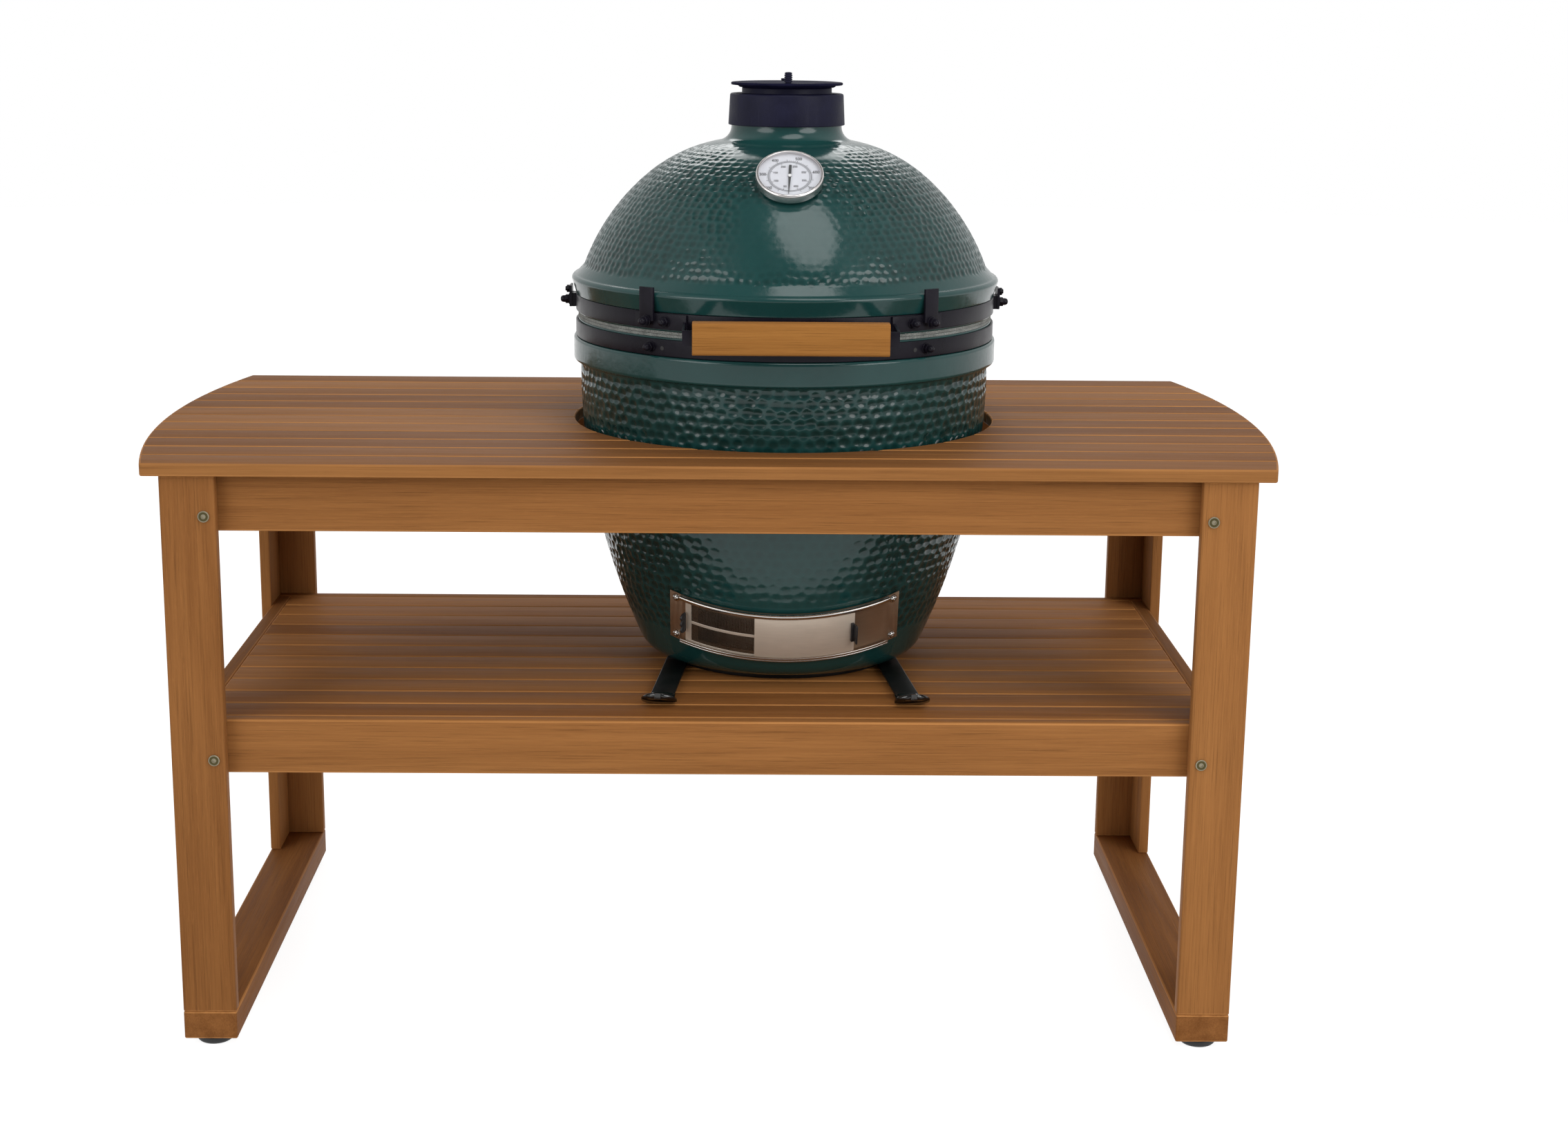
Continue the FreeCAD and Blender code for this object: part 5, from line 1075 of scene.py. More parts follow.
class KAMADO_OT_dome(bpy.types.Operator):
    """Makes the glazed dome, its bare inside and its flue"""

    bl_idname = "kamado.dome"
    bl_label = "Dome"

    def execute(self, context):
        sizes = context.scene.kamado_sizes
        lip_top = DOME_LIP + DOME_LIP_ROUND
        groove = PARTING + 29.3
        outer = section([(SEAT_EASE, DOME_RIM), (SEAT, DOME_RIM + 0.05), (SEAT, groove), (293.6, groove),
                         (294.6, groove + 1.0, 1.0, 1), (DOME_LIP_RADIUS, DOME_LIP),
                         (DOME_LIP_RADIUS - DOME_LIP_ROUND, lip_top, DOME_LIP_ROUND, 1),
                         (DOME_FOOT_RADIUS, DOME_FOOT), (SHOULDER_RADIUS, DOME_SHOULDER, DOME_ARC, 1),
                         (CROWN_RADIUS, CROWN, 220.0, 1), (NECK_RADIUS, PARTING + 261.1, 20.0, -1),
                         (NECK_RADIUS, NECK_TOP)], sizes.skin_step / MM)
        points, quads, hollow = pressed(outer, sizes.dome_hollow / MM, sizes.dome_depth / MM, dome_cover)
        glazed("dome_glaze", points, quads, hollow, "lid", "dome_shell")
        inner_arc = DOME_ARC - WALL
        share = inner_arc / DOME_ARC
        inner_shoulder = DOME_CENTRE + (DOME_SHOULDER - DOME_CENTRE) * share
        inner_foot = math.sqrt(inner_arc ** 2 - (lip_top - DOME_CENTRE) ** 2)
        inner = section([(NECK_RADIUS, NECK_TOP), (FLUE_RADIUS, NECK_TOP), (FLUE_RADIUS, CROWN),
                         (CROWN_RADIUS - 7.0, CROWN - WALL),
                         (SHOULDER_RADIUS * share, inner_shoulder, 192.0, -1),
                         (inner_foot, lip_top, inner_arc, -1), (MOUTH, groove - 0.3), (MOUTH, DOME_RIM),
                         (SEAT_EASE, DOME_RIM)], INSIDE_STEP)
        bare("dome_inside", *turned_arrays(inner, 240), "lid")
        return {"FINISHED"}


# Bands, handle, hinge and what is inside

def cap_nuts(spots):
    """Domed nuts on round washers; a spot is an angle, a distance from the axis and a height."""
    parts = []
    for spot in spots:
        turn = on_side(*spot)
        parts.append(spun([(0, 0), (7.4, 0), (7.8, 0.35), (7.8, 0.9), (7.3, 1.25), (0, 1.25)], 28, turn))
        parts.append(spun([(0, 1.25), (6.5, 1.25), (7.0, 1.7), (7.0, 5.2), (6.3, 6.0), (0, 6.0)], 6, turn))
        parts.append(spun([(0, 5.9), (5.0, 5.9), (5.0, 8.2), (4.5, 10.6), (3.3, 12.2), (1.6, 12.9),
                           (0, 13.0)], 24, turn))
    return parts


def build_lugs(black):
    """The clamp on each side of the dome band: an upright lug, a domed nut and a stud above it."""
    low, high = node_box("side_clamps")
    parts = []
    for side in (-90, 90):
        lug = bar_section(1.75, 14.8, HOOK_OUTER - 1.75, (low.z + high.z) / 2, 1.2)
        parts.append(swept(lug, side - 3, side + 3, 6, AXIS))
        foot = bar_section(3.6, 9.4, BAND_OUTER + 3.4, low.z + 9.5, 0.8)
        parts.append(swept(foot, side - 2.6, side + 2.6, 6, AXIS))
    parts += cap_nuts([(side, HOOK_OUTER, low.z + 9.3) for side in (-90, 90)])
    for side in (-90, 90):
        turn = on_side(side, HOOK_OUTER, high.z - 6.2)
        parts.append(spun([(0, 0), (5.4, 0), (5.8, 0.5), (5.8, 3.6), (5.2, 4.2), (0, 4.2)], 6, turn))
        parts.append(spun([(0, 4.1), (3.3, 4.1), (3.3, 5.4), (2.9, 6.0), (0, 6.0)], 16, turn))
    joined("side_lugs", parts, black, "lid", "band_steel", "side_clamps")


class KAMADO_OT_bands(bpy.types.Operator):
    """Makes the felt gaskets, the black bands, their cap nuts and the side clamps"""

    bl_idname = "kamado.bands"
    bl_label = "Bands"

    def execute(self, context):
        black = black_coat("band", 0.3)
        reaches = {"base": ((HOOK_ANGLE, BAND_OUTER),),
                   "dome": ((33.2, BAND_OUTER + 3.5), (HOOK_ANGLE, HOOK_OUTER))}
        for word, body in (("base", "table"), ("dome", "lid")):
            low, high = node_box(word + "_gasket")
            hoop = hoop_mesh(word + "_felt", 264.0, SEAT, low.z, high.z, 1.2)
            linked(word + "_felt", hoop, felt(), body, "felt", word + "_gasket")
            low, high = node_box(word + "_band")
            hoop = hoop_mesh(word + "_strap", BAND_OUTER - 3.0, BAND_OUTER, low.z, high.z, 1.1)
            linked(word + "_strap", hoop, black, body, "band_steel", word + "_band")
            middle = (low.z + high.z) / 2
            spots = [(side * angle, reach, middle) for side in (-1, 1) for angle, reach in reaches[word]]
            if word == "base":
                # Thin dark discs on the band stand in for its two holes: painted shade where the holes are.
                hole_shades = [spun([(0, 0), (2.9, 0), (2.9, 0.25), (0, 0.25)], 20,
                              on_side(side * 34.6, BAND_OUTER, middle - 0.5)) for side in (-1, 1)]
                joined("base_band_holes", hole_shades, moulded_plastic("hole"), body, "band_steel")
            joined(word + "_cap_nuts", cap_nuts(spots), black, body, "nut_black", word + "_band_nuts")
        build_lugs(black)
        return {"FINISHED"}


class KAMADO_OT_handle(bpy.types.Operator):
    """Makes the handle's bent black brackets and its varnished wooden grip"""

    bl_idname = "kamado.handle"
    bl_label = "Handle"

    def execute(self, context):
        for side in ("left", "right"):
            redressed("bracket_" + side, "handle_bracket_" + side, 0.9, black_coat("bracket", 0.34), "lid",
                      "band_steel", 3)
        grip = softened("handle_grip", 0.9, limit=50.0)
        give(grip, "tone", np.full(len(grip.polygons), 0.6))
        linked("grip", grip, teak("X", light="grip_light", dark="grip_dark", seed=9.0), "lid", "grip_wood",
               "handle_grip")
        return {"FINISHED"}


class KAMADO_OT_hinge(bpy.types.Operator):
    """Makes the rear hinge's brackets and its pin, and dresses the lift springs"""

    bl_idname = "kamado.hinge"
    bl_label = "Hinge"

    def execute(self, context):
        black = black_coat("hinge", 0.36)
        redressed("hinge_lower", "hinge_lower_bracket", 0.8, black, "table", "band_steel")
        redressed("hinge_upper", "hinge_upper_bracket", 0.8, black, "lid", "band_steel")
        redressed("hinge_rod", "hinge_pin", 0.5, black, "table", "band_steel")
        dress("lift_springs", steel("spring", 0.3, "plate_steel", along="X"))
        return {"FINISHED"}


class KAMADO_OT_fire(bpy.types.Operator):
    """Makes the clay fire box and ring, and dresses the iron grate and the cooking grid"""

    bl_idname = "kamado.fire"
    bl_label = "Fire box"

    def execute(self, context):
        for node in ("fire_box", "fire_ring"):
            redressed(node + "_clay", node, 2.0, fired_clay(), "table", "fire_clay")
        dress("fire_grate", painted_iron("grate", 0.6, grain=320.0))
        dress("cooking_grid", steel("grid", 0.22, along="X"))
        return {"FINISHED"}


# Draft door: a curved plate that leans with the belly, and what slides in its tracks

DRAFT_SURFACE = belly_radius(DRAFT_HEIGHT)
DRAFT_LEAN = math.asin((WAIST - DRAFT_HEIGHT) / BELLY_ARC)
DRAFT_TURN = (AXIS @ Matrix.Translation((0.0, 0.0, DRAFT_HEIGHT + DRAFT_SURFACE * math.tan(DRAFT_LEAN)))
              @ Matrix.Rotation(DRAFT_LEAN, 4, "X"))
PLATE_RADIUS = DRAFT_SURFACE / math.cos(DRAFT_LEAN) + 2.5
SCREEN_MIDDLE = PLATE_RADIUS + 2.5
DOOR_INNER = PLATE_RADIUS + 3.5
TRACK_LIP = PLATE_RADIUS + 5.1
TRACK_REACH = 35.2
DOOR_HALF = 36.6
SCREEN_LEFT, SCREEN_RIGHT = -33.5, 0.5
STANDING = Matrix(((0, 0, 1, 0), (-1, 0, 0, 0), (0, 1, 0, 0), (0, 0, 0, 1)))


def draft_sweep(profile, start, end, columns):
    """A bar of the draft door between two angles."""
    return swept(profile, start, end, columns, DRAFT_TURN)


def finger_tab(outline, half, degrees):
    """An upright tab that stands out from the draft door, from an outline of distances and levels."""
    bm = rounded_prism(outline, -half, half, 0.7, 2)
    bm.transform(DRAFT_TURN @ Matrix.Rotation(math.radians(degrees), 4, "Z") @ STANDING)
    return bm


def lobed_outline(reach):
    """A tab's outline with three lobes on its outer edge."""
    half = 15.5
    points = [(reach - 7.5, -half)]
    for z in between(-half, half, 24):
        lobe = abs(math.cos(math.pi * z / 10.4))
        points.append((reach + 4.2 * lobe ** 0.6 - 1.2 * abs(z / half) ** 6, z))
    return points + [(reach - 7.5, half)]


def screen_bars():
    """The screen door's frame: three rails and two uprights."""
    rails = [bar_section(0.6, height / 2, SCREEN_MIDDLE, level, 0.25, 1)
             for level, height in ((DOOR_HALF - 3.0, 6.0), (0.0, 4.5), (3.0 - DOOR_HALF, 6.0))]
    upright = bar_section(0.62, DOOR_HALF, SCREEN_MIDDLE, 0.0, 0.25, 1)
    ends = ((SCREEN_LEFT, SCREEN_LEFT + 2.2), (SCREEN_RIGHT - 0.9, SCREEN_RIGHT))
    return ([draft_sweep(rail, SCREEN_LEFT, SCREEN_RIGHT, 60) for rail in rails]
            + [draft_sweep(upright, start, end, 6) for start, end in ends])


def screen_wires(sizes):
    """The wires that cross in the screen door's two windows."""
    wire, pitch = sizes.wire_width / MM / 2, sizes.mesh_pitch / MM
    step, half_wire = math.degrees(pitch / SCREEN_MIDDLE), math.degrees(wire / SCREEN_MIDDLE)

    def square(low, high):
        near, far = SCREEN_MIDDLE - wire, SCREEN_MIDDLE + wire
        return [(near, low), (far, low), (far, high), (near, high)]

    wires = []
    for low, high in ((2.0, DOOR_HALF - 5.8), (5.8 - DOOR_HALF, -2.0)):
        for k in range(int((high - low) / pitch)):
            level = low + pitch * (k + 0.5)
            bar = square(level - wire, level + wire)
            wires.append(draft_sweep(bar, SCREEN_LEFT + 1.8, SCREEN_RIGHT - 0.6, 24))
        for k in range(int((SCREEN_RIGHT - SCREEN_LEFT - 2.6) / step)):
            angle = SCREEN_LEFT + 2.0 + step * k
            wires.append(draft_sweep(square(low - 0.6, high + 0.6), angle - half_wire, angle + half_wire, 1))
    return wires


def draft_screws():
    """Round-headed screws on washers at the plate's four corners."""
    parts = []
    for degrees in (-37.5, 37.5):
        for level in (-30.7, 30.7):
            way = outward(degrees)
            spot = DRAFT_TURN @ facing(way * (PLATE_RADIUS + 1.5) + Vector((0, 0, level)), way)
            parts.append(spun([(0, 0), (6.2, 0), (6.4, 0.3), (6.2, 0.7), (0, 0.7)], 28, spot))
            parts.append(spun([(0, 0.6), (4.6, 0.6), (4.7, 1.3), (4.0, 2.5), (2.6, 3.2), (1.5, 3.35),
                               (1.3, 2.2), (0, 2.2)], 24, spot))
            parts.append(spun([(0, -12.0), (2.0, -12.0), (2.5, -11.5), (2.5, 0.1), (0, 0.1)], 16, spot))
    return parts


class KAMADO_OT_draft_door(bpy.types.Operator):
    """Makes the draft door's plate with polished tracks, its wire screen and its brushed door"""

    bl_idname = "kamado.draft_door"
    bl_label = "Draft door"

    def execute(self, context):
        brushed = steel("door", 0.36, "door_steel", metal=0.35)
        tab = moulded_plastic("tab")
        plate = steel("plate", 0.36, "plate_steel", metal=0.8)
        redressed("draft_tracks", "draft_frame", 0.35, plate, "table", "draft_steel")
        beads = [bar_section(3.0, 3.6, TRACK_LIP - 0.9, 35.4, 2.9, 6)]
        beads += [bar_section(0.9, 0.9, TRACK_LIP + 0.9, level, 0.7) for level in (-37.3, -33.6)]
        joined("draft_beads", [draft_sweep(bead, -TRACK_REACH, TRACK_REACH, 90) for bead in beads],
               steel("bead", 0.16, along="X"), "table", "draft_steel", smooth_angle=50.0)

        joined("screen_frame", screen_bars(), brushed, "screen_door", "draft_steel", "draft_screen_door")
        wires = screen_wires(context.scene.kamado_sizes)
        joined("screen_wires", wires, steel("wire", 0.4, "wire_steel"), "screen_door", "draft_steel")
        joined("screen_pull", [finger_tab(lobed_outline(TRACK_LIP + 7.9), 1.5, SCREEN_LEFT + 0.3)], tab,
               "screen_door", "draft_steel")

        door = draft_sweep(bar_section(0.6, DOOR_HALF - 0.1, DOOR_INNER + 0.6, 0.0, 0.45, 2), -9.7, 22.6, 60)
        joined("draft_plate", [door], brushed, "solid_door", "draft_steel", "draft_solid_door")
        fold = draft_sweep(bar_section(1.9, 15.0, DOOR_INNER + 3.0, 0.0, 0.6, 2), 21.3, 22.2, 3)
        pull = finger_tab([(DOOR_INNER + 1.0, -13.0), (TRACK_LIP + 11.0, -15.4), (TRACK_LIP + 11.4, 15.4),
                           (DOOR_INNER + 1.0, 13.0)], 1.3, 22.3)
        joined("door_pull", [fold, pull], tab, "solid_door", "draft_steel")
        screws = draft_screws()
        joined("draft_screw_heads", screws, steel("screw", 0.16), "table", "draft_steel", "draft_screws")
        return {"FINISHED"}


# Thermometer: strokes and plain numbers on a dial

DIGITS = {
    "0": "0.5,0 0.1,0.3 0,1 0.1,1.7 0.5,2 0.9,1.7 1,1 0.9,0.3 0.5,0",
    "1": "0.2,1.6 0.6,2 0.6,0",
    "2": "0,1.5 0.3,2 0.8,2 1,1.5 0,0 1,0",
    "3": "0,1.8 0.5,2 0.95,1.6 0.4,1.1 1,0.6 0.6,0 0,0.2",
    "4": "0.75,0 0.75,2 0,0.6 1,0.6",
    "5": "0.9,2 0.15,2 0.05,1.1 0.7,1.2 1,0.6 0.6,0 0,0.2",
    "6": "0.9,1.9 0.3,1.5 0,0.7 0.3,0 0.8,0.1 1,0.6 0.6,1.1 0.1,0.9",
    "7": "0,2 1,2 0.4,0",
}
INK = 0.08
DIAL_FACE = 8.82
DIAL_LEAN = math.radians(51.0)
OUTER_VALUES = [200, 300, 400, 500, 600, 700]
OUTER_PLACES = [232.0, 276.0, 328.0, 380.0, 436.0, 488.0]


def stroke(bm, start, end, width):
    """Adds a flat bar of ink between two points of the dial."""
    way = np.array(end, float) - np.array(start, float)
    way /= np.linalg.norm(way) + 1e-9
    side = np.array([-way[1], way[0]]) * width / 2
    start, end = np.array(start) - way * width * 0.3, np.array(end) + way * width * 0.3
    prism(bm, [start - side, end - side, end + side, start + side], DIAL_FACE, DIAL_FACE + INK)


def mark(bm, degrees, start, end, width):
    """Adds a mark that points at the dial's middle."""
    angle = math.radians(degrees)
    way = np.array([math.sin(angle), math.cos(angle)])
    stroke(bm, way * start, way * end, width)


def numeral(bm, number, radius, degrees, size, width):
    """Writes a plain number upright on the dial, centred at an angle clockwise from the top."""
    angle = math.radians(degrees)
    digits = str(number)
    advance = size * 0.66
    x = radius * math.sin(angle) - advance * (len(digits) - 1) / 2 - size * 0.22
    y = radius * math.cos(angle) - size / 2
    for digit in digits:
        spots = [tuple(float(v) for v in pair.split(",")) for pair in DIGITS[digit].split()]
        spots = [(x + u * size * 0.44, y + v * size / 2) for u, v in spots]
        for start, end in zip(spots, spots[1:]):
            stroke(bm, start, end, width)
        x += advance


def outer_place(value):
    """Where a value of the outer scale lies on the dial, in degrees clockwise from the top."""
    if value < OUTER_VALUES[0]:
        return OUTER_PLACES[0] + (value - OUTER_VALUES[0]) * 0.44
    if value > OUTER_VALUES[-1]:
        return OUTER_PLACES[-1] + (value - OUTER_VALUES[-1]) * 0.5
    return np.interp(value, OUTER_VALUES, OUTER_PLACES)


def inner_place(value):
    """Where a value of the inner scale lies on the dial."""
    return 199.2 + 0.909 * (value - 50)


def dial_marks():
    """Two scales on the dial: a double ring, fine marks on both sides of it and plain numbers."""
    bm = bmesh.new()
    for value in range(150, 755, 10):
        end, width = (32.0, 0.7) if value % 50 == 0 else (30.8, 0.4)
        mark(bm, outer_place(value), 28.9, end, width)
    for value in range(50, 405, 5):
        end, width = (24.2, 0.6) if value % 50 == 0 else (25.5, 0.32)
        mark(bm, inner_place(value), 26.8, end, width)
    for value, degrees in zip(OUTER_VALUES, OUTER_PLACES):
        numeral(bm, value, 36.0, degrees, 4.6, 0.85)
    for value in range(50, 401, 50):
        numeral(bm, value, 20.2, inner_place(value), 3.3, 0.62)
    return [bm] + [ring_of(inner, outer, DIAL_FACE, DIAL_FACE + INK, 128)
                   for inner, outer in ((28.2, 28.95), (26.7, 27.3))]


class KAMADO_OT_thermometer(bpy.types.Operator):
    """Makes the thermometer's polished case, marks and hub, and dresses its dial, lens, stem and needle"""

    bl_idname = "kamado.thermometer"
    bl_label = "Thermometer"

    def execute(self, context):
        redressed("dial_case", "thermometer_case", 0.5, steel("dial", 0.2, "bezel"), "lid", "dial_steel", 3)
        dress("thermometer_dial", enamel("dial", (0.70, 0.71, 0.76)))
        dress("thermometer_lens", lens_glass())
        dress("thermometer_stem", steel("stem", 0.2))
        dress("thermometer_needle", enamel("needle", (0.012, 0.012, 0.012)))
        normal = Vector((0.0, -math.cos(DIAL_LEAN), math.sin(DIAL_LEAN)))
        turn = facing(Vector((AXIS_X, AXIS_Y, DOME_CENTRE)) + normal * (DOME_ARC + 0.3), normal)
        marks = dial_marks()
        for bm in marks:
            bm.transform(turn)
        joined("dial_marks", marks, enamel("marks", (0.02, 0.02, 0.025)), "lid", "dial_black")
        hub = spun([(0, 10.72), (2.4, 10.72), (2.6, 10.95), (2.3, 11.5), (1.5, 11.75), (0, 11.8)], 32, turn)
        joined("dial_hub", [hub], enamel("hub", (0.8, 0.8, 0.8)), "needle", "dial_black")
        return {"FINISHED"}


class KAMADO_OT_cap(bpy.types.Operator):
    """Makes the cast cap, the thin disc that swings on it, its pin and the ribbed knob"""

    bl_idname = "kamado.cap"
    bl_label = "Top cap"

    def execute(self, context):
        iron = painted_iron("cap", 0.5, shine=0.14)
        redressed("cap_casting", "cap_body", 1.4, iron, "lid", "cap_iron", 3)
        low, high = node_box("cap_disc")
        rim = 77.8
        plate = spun(eased([(0, low.z), (66.0, low.z), (68.5, low.z + 2.6), (rim, high.z - 4.2),
                            (rim, high.z - 0.6), (70.0, high.z), (0, high.z)], 1.6, False), 144, AXIS)
        matt = painted_iron("disc", 0.62, shine=0.02)
        joined("cap_plate", [plate], matt, "vent_disc", "cap_iron", "cap_disc", smooth_angle=40.0)
        redressed("cap_pin", "cap_pivot_pin", 0.9, iron, "lid", "cap_hardware", 3)
        low, high = node_box("cap_knob")
        spot = Matrix.Translation(((low.x + high.x) / 2, (low.y + high.y) / 2, low.z))
        ribs = [(0, 0.02), (4.2, 0.02), (4.2, 1.2)]
        for k in range(4):
            base = 1.6 + 2.7 * k
            ribs += [(5.3, base), (5.6, base + 0.5), (5.6, base + 1.2), (5.3, base + 1.7), (4.5, base + 2.0),
                     (4.5, base + 2.4)]
        ribs += [(5.0, 12.6), (5.2, 13.2), (4.6, 14.2), (3.0, 14.8), (0, 15.0)]
        joined("cap_pull", [spun(ribs, 40, spot)], iron, "vent_disc", "cap_hardware", "cap_knob",
               smooth_angle=40.0)
        return {"FINISHED"}


# Nest: a rolled ring on four flat straps that end in turned-up shoes

STRAP_TOP = BASE_BOTTOM - 0.3 - 1.2
STRAP_THICK = 4.0
STRAP_START, STRAP_END, STRAP_HALF = 86.0, 282.0, 16.0
STRAP_OFFSET, STRAP_SPLAY = 141.0, 5.4
SHOE_START, SHOE_LENGTH = 276.0, 56.0
SHOE_ROWS, SHOE_COLUMNS = 18, 14


def shoe_row(along):
    """The upper and lower points across a shoe, at a share of its length."""
    floor = SHELF_TOP + 0.05
    flare = 17.4 + 7.6 * rising(along, 0.3, 0.8)
    tip = max(0.0, (along - 0.66) / 0.34)
    width = flare * math.sqrt(max(1.0 - 0.93 * tip * tip, 0.0))
    lift = 17.0 * rising(along, 0.45, 1.0)
    over = 7.8 - 2.6 * rising(along, 0.05, 0.7) + lift
    under = 2.8 * falling(along, 0.0, 0.3) + lift * 0.82
    thick = over - under
    x = SHOE_START + SHOE_LENGTH * along
    sides = between(-1, 1, SHOE_COLUMNS)
    top = [(x, side * width, floor + under + thick * (1.0 - 0.45 * abs(side) ** 5)) for side in sides]
    bottom = [(x, side * width, floor + under + thick * 0.25 * abs(side) ** 5) for side in sides]
    return top, bottom


def shoe(turn):
    """A glossy shoe over a strap's end: it broadens, then turns up at its round toe."""
    bm = bmesh.new()
    rows = [shoe_row(i / SHOE_ROWS) for i in range(SHOE_ROWS + 1)]
    high = [[bm.verts.new(point) for point in top] for top, bottom in rows]
    low = [[bm.verts.new(point) for point in bottom] for top, bottom in rows]
    for i in range(SHOE_ROWS):
        for j in range(SHOE_COLUMNS):
            bm.faces.new((high[i][j], high[i][j + 1], high[i + 1][j + 1], high[i + 1][j]))
            bm.faces.new((low[i][j], low[i + 1][j], low[i + 1][j + 1], low[i][j + 1]))
        for j in (0, SHOE_COLUMNS):
            bm.faces.new((high[i][j], high[i + 1][j], low[i + 1][j], low[i][j]))
    for i in (0, SHOE_ROWS):
        for j in range(SHOE_COLUMNS):
            bm.faces.new((high[i][j], low[i][j], low[i][j + 1], high[i][j + 1]))
    bm.transform(turn)
    return bm


class KAMADO_OT_nest(bpy.types.Operator):
    """Makes the nest's rolled ring, its four flat straps and their glossy shoes"""

    bl_idname = "kamado.nest"
    bl_label = "Nest"

    def execute(self, context):
        coat = painted_iron("nest", 0.34, "nest", 500.0, 0.0003, 0.25)
        redressed("nest_hoop", "nest_ring", 0.8, coat, "table", "nest_black")
        straps, shoes = [], []
        for x_side in (-1, 1):
            for y_side in (-1, 1):
                angle = math.radians(y_side * (90 - x_side * STRAP_SPLAY))
                turn = (AXIS @ Matrix.Rotation(angle, 4, "Z")
                        @ Matrix.Translation((0.0, -x_side * y_side * STRAP_OFFSET, 0.0)))
                strap = plank((STRAP_START, -STRAP_HALF, STRAP_TOP - STRAP_THICK),
                              (STRAP_END, STRAP_HALF, STRAP_TOP), 1.2)
                strap.transform(turn)
                straps.append(strap)
                shoes.append(shoe(turn))
        joined("nest_straps", straps, coat, "table", "nest_black", "nest_legs")
        gloss = painted_iron("shoe", 0.07, "nest", 90.0, 0.0002, 0.6)
        joined("nest_shoes", shoes, gloss, "table", "nest_black", smooth_angle=50.0)
        return {"FINISHED"}


# Stage: a pale floor, soft lamps, a white surround and the camera. All but the floor's radius is in metres.

CAMERA_PLACE = (0.01472, -3.36164, 1.36807)
CAMERA_YAW, CAMERA_PITCH, CAMERA_ROLL = 0.6469, 13.018, 0.474
CAMERA_LENS, CAMERA_SENSOR, CAMERA_SHIFT = 54.87, 36.0, 0.02334
CAMERA_NEAR, CAMERA_FAR = 0.1, 60.0
FLOOR_RADIUS, FLOOR_DROP = 14000.0, 0.0005
LAMP_TARGET = (0.1, 0.0, 0.8)
LAMPS = {
    "key_lamp": ((0.62, -1.5, 4.0), (1.7, 2.6), 38.0),
    "right_lamp": ((3.1, -3.1, 2.3), (2.9, 2.7), 70.0),
    "left_lamp": ((-3.1, -3.1, 2.3), (2.9, 2.7), 52.0),
    "back_lamp": ((0.1, 2.7, 3.2), (2.8, 2.0), 34.0),
}
WHITE = (1.0, 1.0, 1.0, 1.0)
SOFT_STRENGTH, DIM_STRENGTH = 0.5, 0.25


def staged(name, data):
    """Puts a lamp, the camera or the floor in the scene."""
    item = bpy.data.objects.new(name, data)
    bpy.context.scene.collection.objects.link(item)
    return item


def place_lamps():
    for name, (place, size, watts) in LAMPS.items():
        data = bpy.data.lights.new(name, "AREA")
        data.shape = "ELLIPSE"
        data.size, data.size_y = size
        data.energy = watts
        lamp = staged(name, data)
        lamp.location = place
        lamp.rotation_mode = "QUATERNION"
        lamp.rotation_quaternion = (Vector(LAMP_TARGET) - Vector(place)).to_track_quat("-Z", "Y")


def place_camera():
    yaw, pitch, roll = (math.radians(value) for value in (CAMERA_YAW, CAMERA_PITCH, CAMERA_ROLL))
    right = Vector((math.cos(yaw), -math.sin(yaw), 0.0))
    ahead = Vector((math.sin(yaw) * math.cos(pitch), math.cos(yaw) * math.cos(pitch), -math.sin(pitch)))
    up = right.cross(ahead)
    side = right * math.cos(roll) + up * math.sin(roll)
    rise = up * math.cos(roll) - right * math.sin(roll)
    data = bpy.data.cameras.new("camera")
    data.lens, data.sensor_width, data.shift_x = CAMERA_LENS, CAMERA_SENSOR, CAMERA_SHIFT
    data.clip_start, data.clip_end = CAMERA_NEAR, CAMERA_FAR
    camera = staged("camera", data)
    turn = Matrix((side, rise, -ahead)).transposed().to_4x4()
    camera.matrix_world = Matrix.Translation(CAMERA_PLACE) @ turn
    bpy.context.scene.camera = camera


def studio():
    """A world that lights softly, shows white, and looks dim in a gloss in front and overhead."""
    world = bpy.data.worlds.new("studio")
    world.use_nodes = True
    n = Nodes(world.node_tree)
    place = n.place("Generated")
    width = n.sums("ABSOLUTE", n.node("SeparateXYZ", {0: place}, "X"))
    depth = n.node("SeparateXYZ", {0: place}, "Y")
    dim = n.sums("MULTIPLY", n.range(width, 0.2, 0.75, 1.0, 0.0, "SMOOTHSTEP"),
                 n.range(depth, 0.45, 0.9, 1.0, 0.0, "SMOOTHSTEP"))
    soft = n.node("Background", {"Color": WHITE, "Strength": SOFT_STRENGTH})
    white = n.node("Background", {"Color": WHITE, "Strength": 1.0})
    shaded = n.node("Background", {"Strength": n.range(dim, 0.0, 1.0, 1.0, DIM_STRENGTH, "SMOOTHSTEP")})
    shown = n.node("MixShader", {0: n.seen(), 1: soft, 2: white})
    n.node("OutputWorld", {0: n.node("MixShader", {0: n.rays("Glossy"), 1: shown, 2: shaded})})
    return world


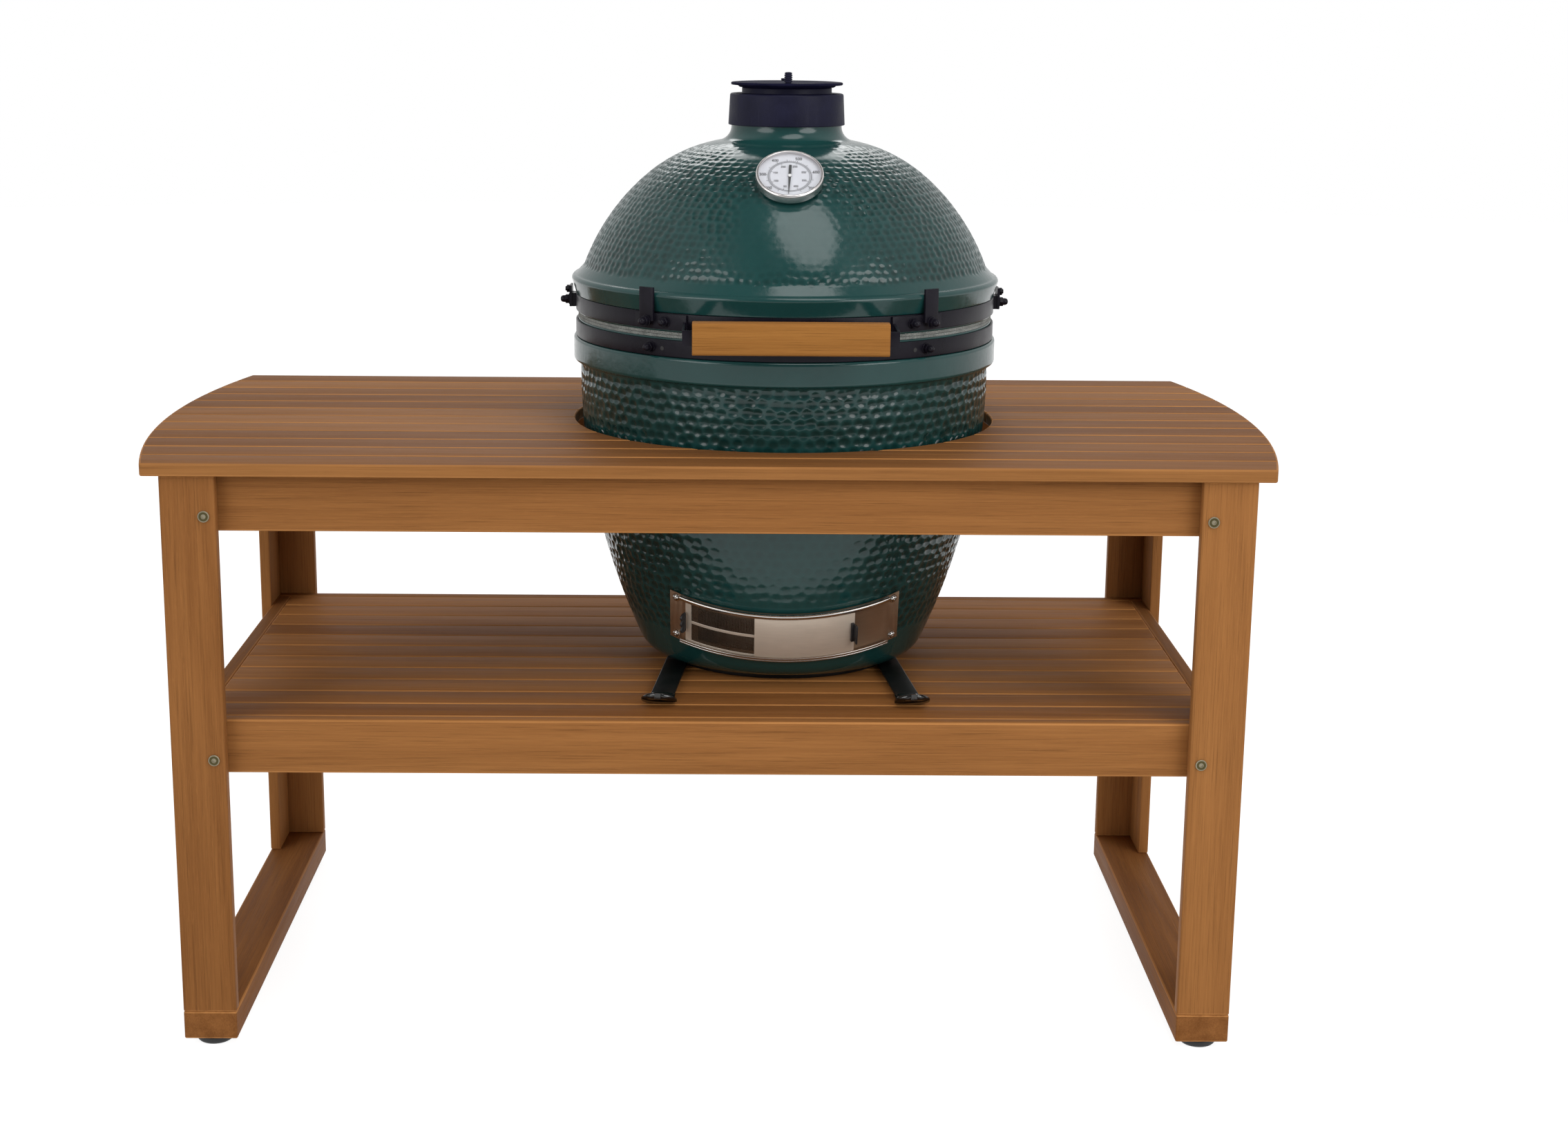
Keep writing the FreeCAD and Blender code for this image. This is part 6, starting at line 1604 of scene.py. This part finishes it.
class KAMADO_OT_stage(bpy.types.Operator):
    """Makes the floor, the lamps, the surround and the camera"""

    bl_idname = "kamado.stage"
    bl_label = "Stage"

    def execute(self, context):
        context.scene.view_settings.view_transform = "Standard"
        place_camera()
        circle = bmesh.new()
        bmesh.ops.create_circle(circle, cap_ends=True, segments=96, radius=FLOOR_RADIUS)
        floor = staged("floor", mesh_of("floor", circle))
        floor.location.z = -FLOOR_DROP
        floor.data.materials.append(floor_paper())
        context.scene.world = studio()
        place_lamps()
        return {"FINISHED"}


OPERATORS = [KAMADO_OT_worktop, KAMADO_OT_shelf, KAMADO_OT_frame, KAMADO_OT_bolts, KAMADO_OT_base,
             KAMADO_OT_dome, KAMADO_OT_bands, KAMADO_OT_handle, KAMADO_OT_hinge, KAMADO_OT_fire,
             KAMADO_OT_draft_door, KAMADO_OT_thermometer, KAMADO_OT_cap, KAMADO_OT_nest, KAMADO_OT_stage]


class KAMADO_PT_sidebar(bpy.types.Panel):
    """Lists the pieces of the kamado table"""

    bl_idname = "KAMADO_PT_sidebar"
    bl_label = "Kamado table"
    bl_space_type = "VIEW_3D"
    bl_region_type = "UI"
    bl_category = "Kamado table"

    def draw(self, context):
        column = self.layout.column(align=True)
        for kind in OPERATORS:
            column.operator(kind.bl_idname)
        for settings in (context.scene.kamado_sizes, context.scene.kamado_finishes):
            rows = self.layout.column()
            for word in settings.__annotations__:
                rows.prop(settings, word)


CLASSES = [KamadoSizes, KamadoFinishes, *OPERATORS, KAMADO_PT_sidebar]


def register():
    for kind in CLASSES:
        bpy.utils.register_class(kind)
    bpy.types.Scene.kamado_sizes = bpy.props.PointerProperty(type=KamadoSizes)
    bpy.types.Scene.kamado_finishes = bpy.props.PointerProperty(type=KamadoFinishes)


def unregister():
    del bpy.types.Scene.kamado_finishes
    del bpy.types.Scene.kamado_sizes
    for kind in reversed(CLASSES):
        bpy.utils.unregister_class(kind)


def main():
    """Registers the add-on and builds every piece."""
    register()
    for kind in OPERATORS:
        name = kind.bl_idname.split(".")[1]
        getattr(bpy.ops.kamado, name)()


if __name__ == "__main__":
    main()
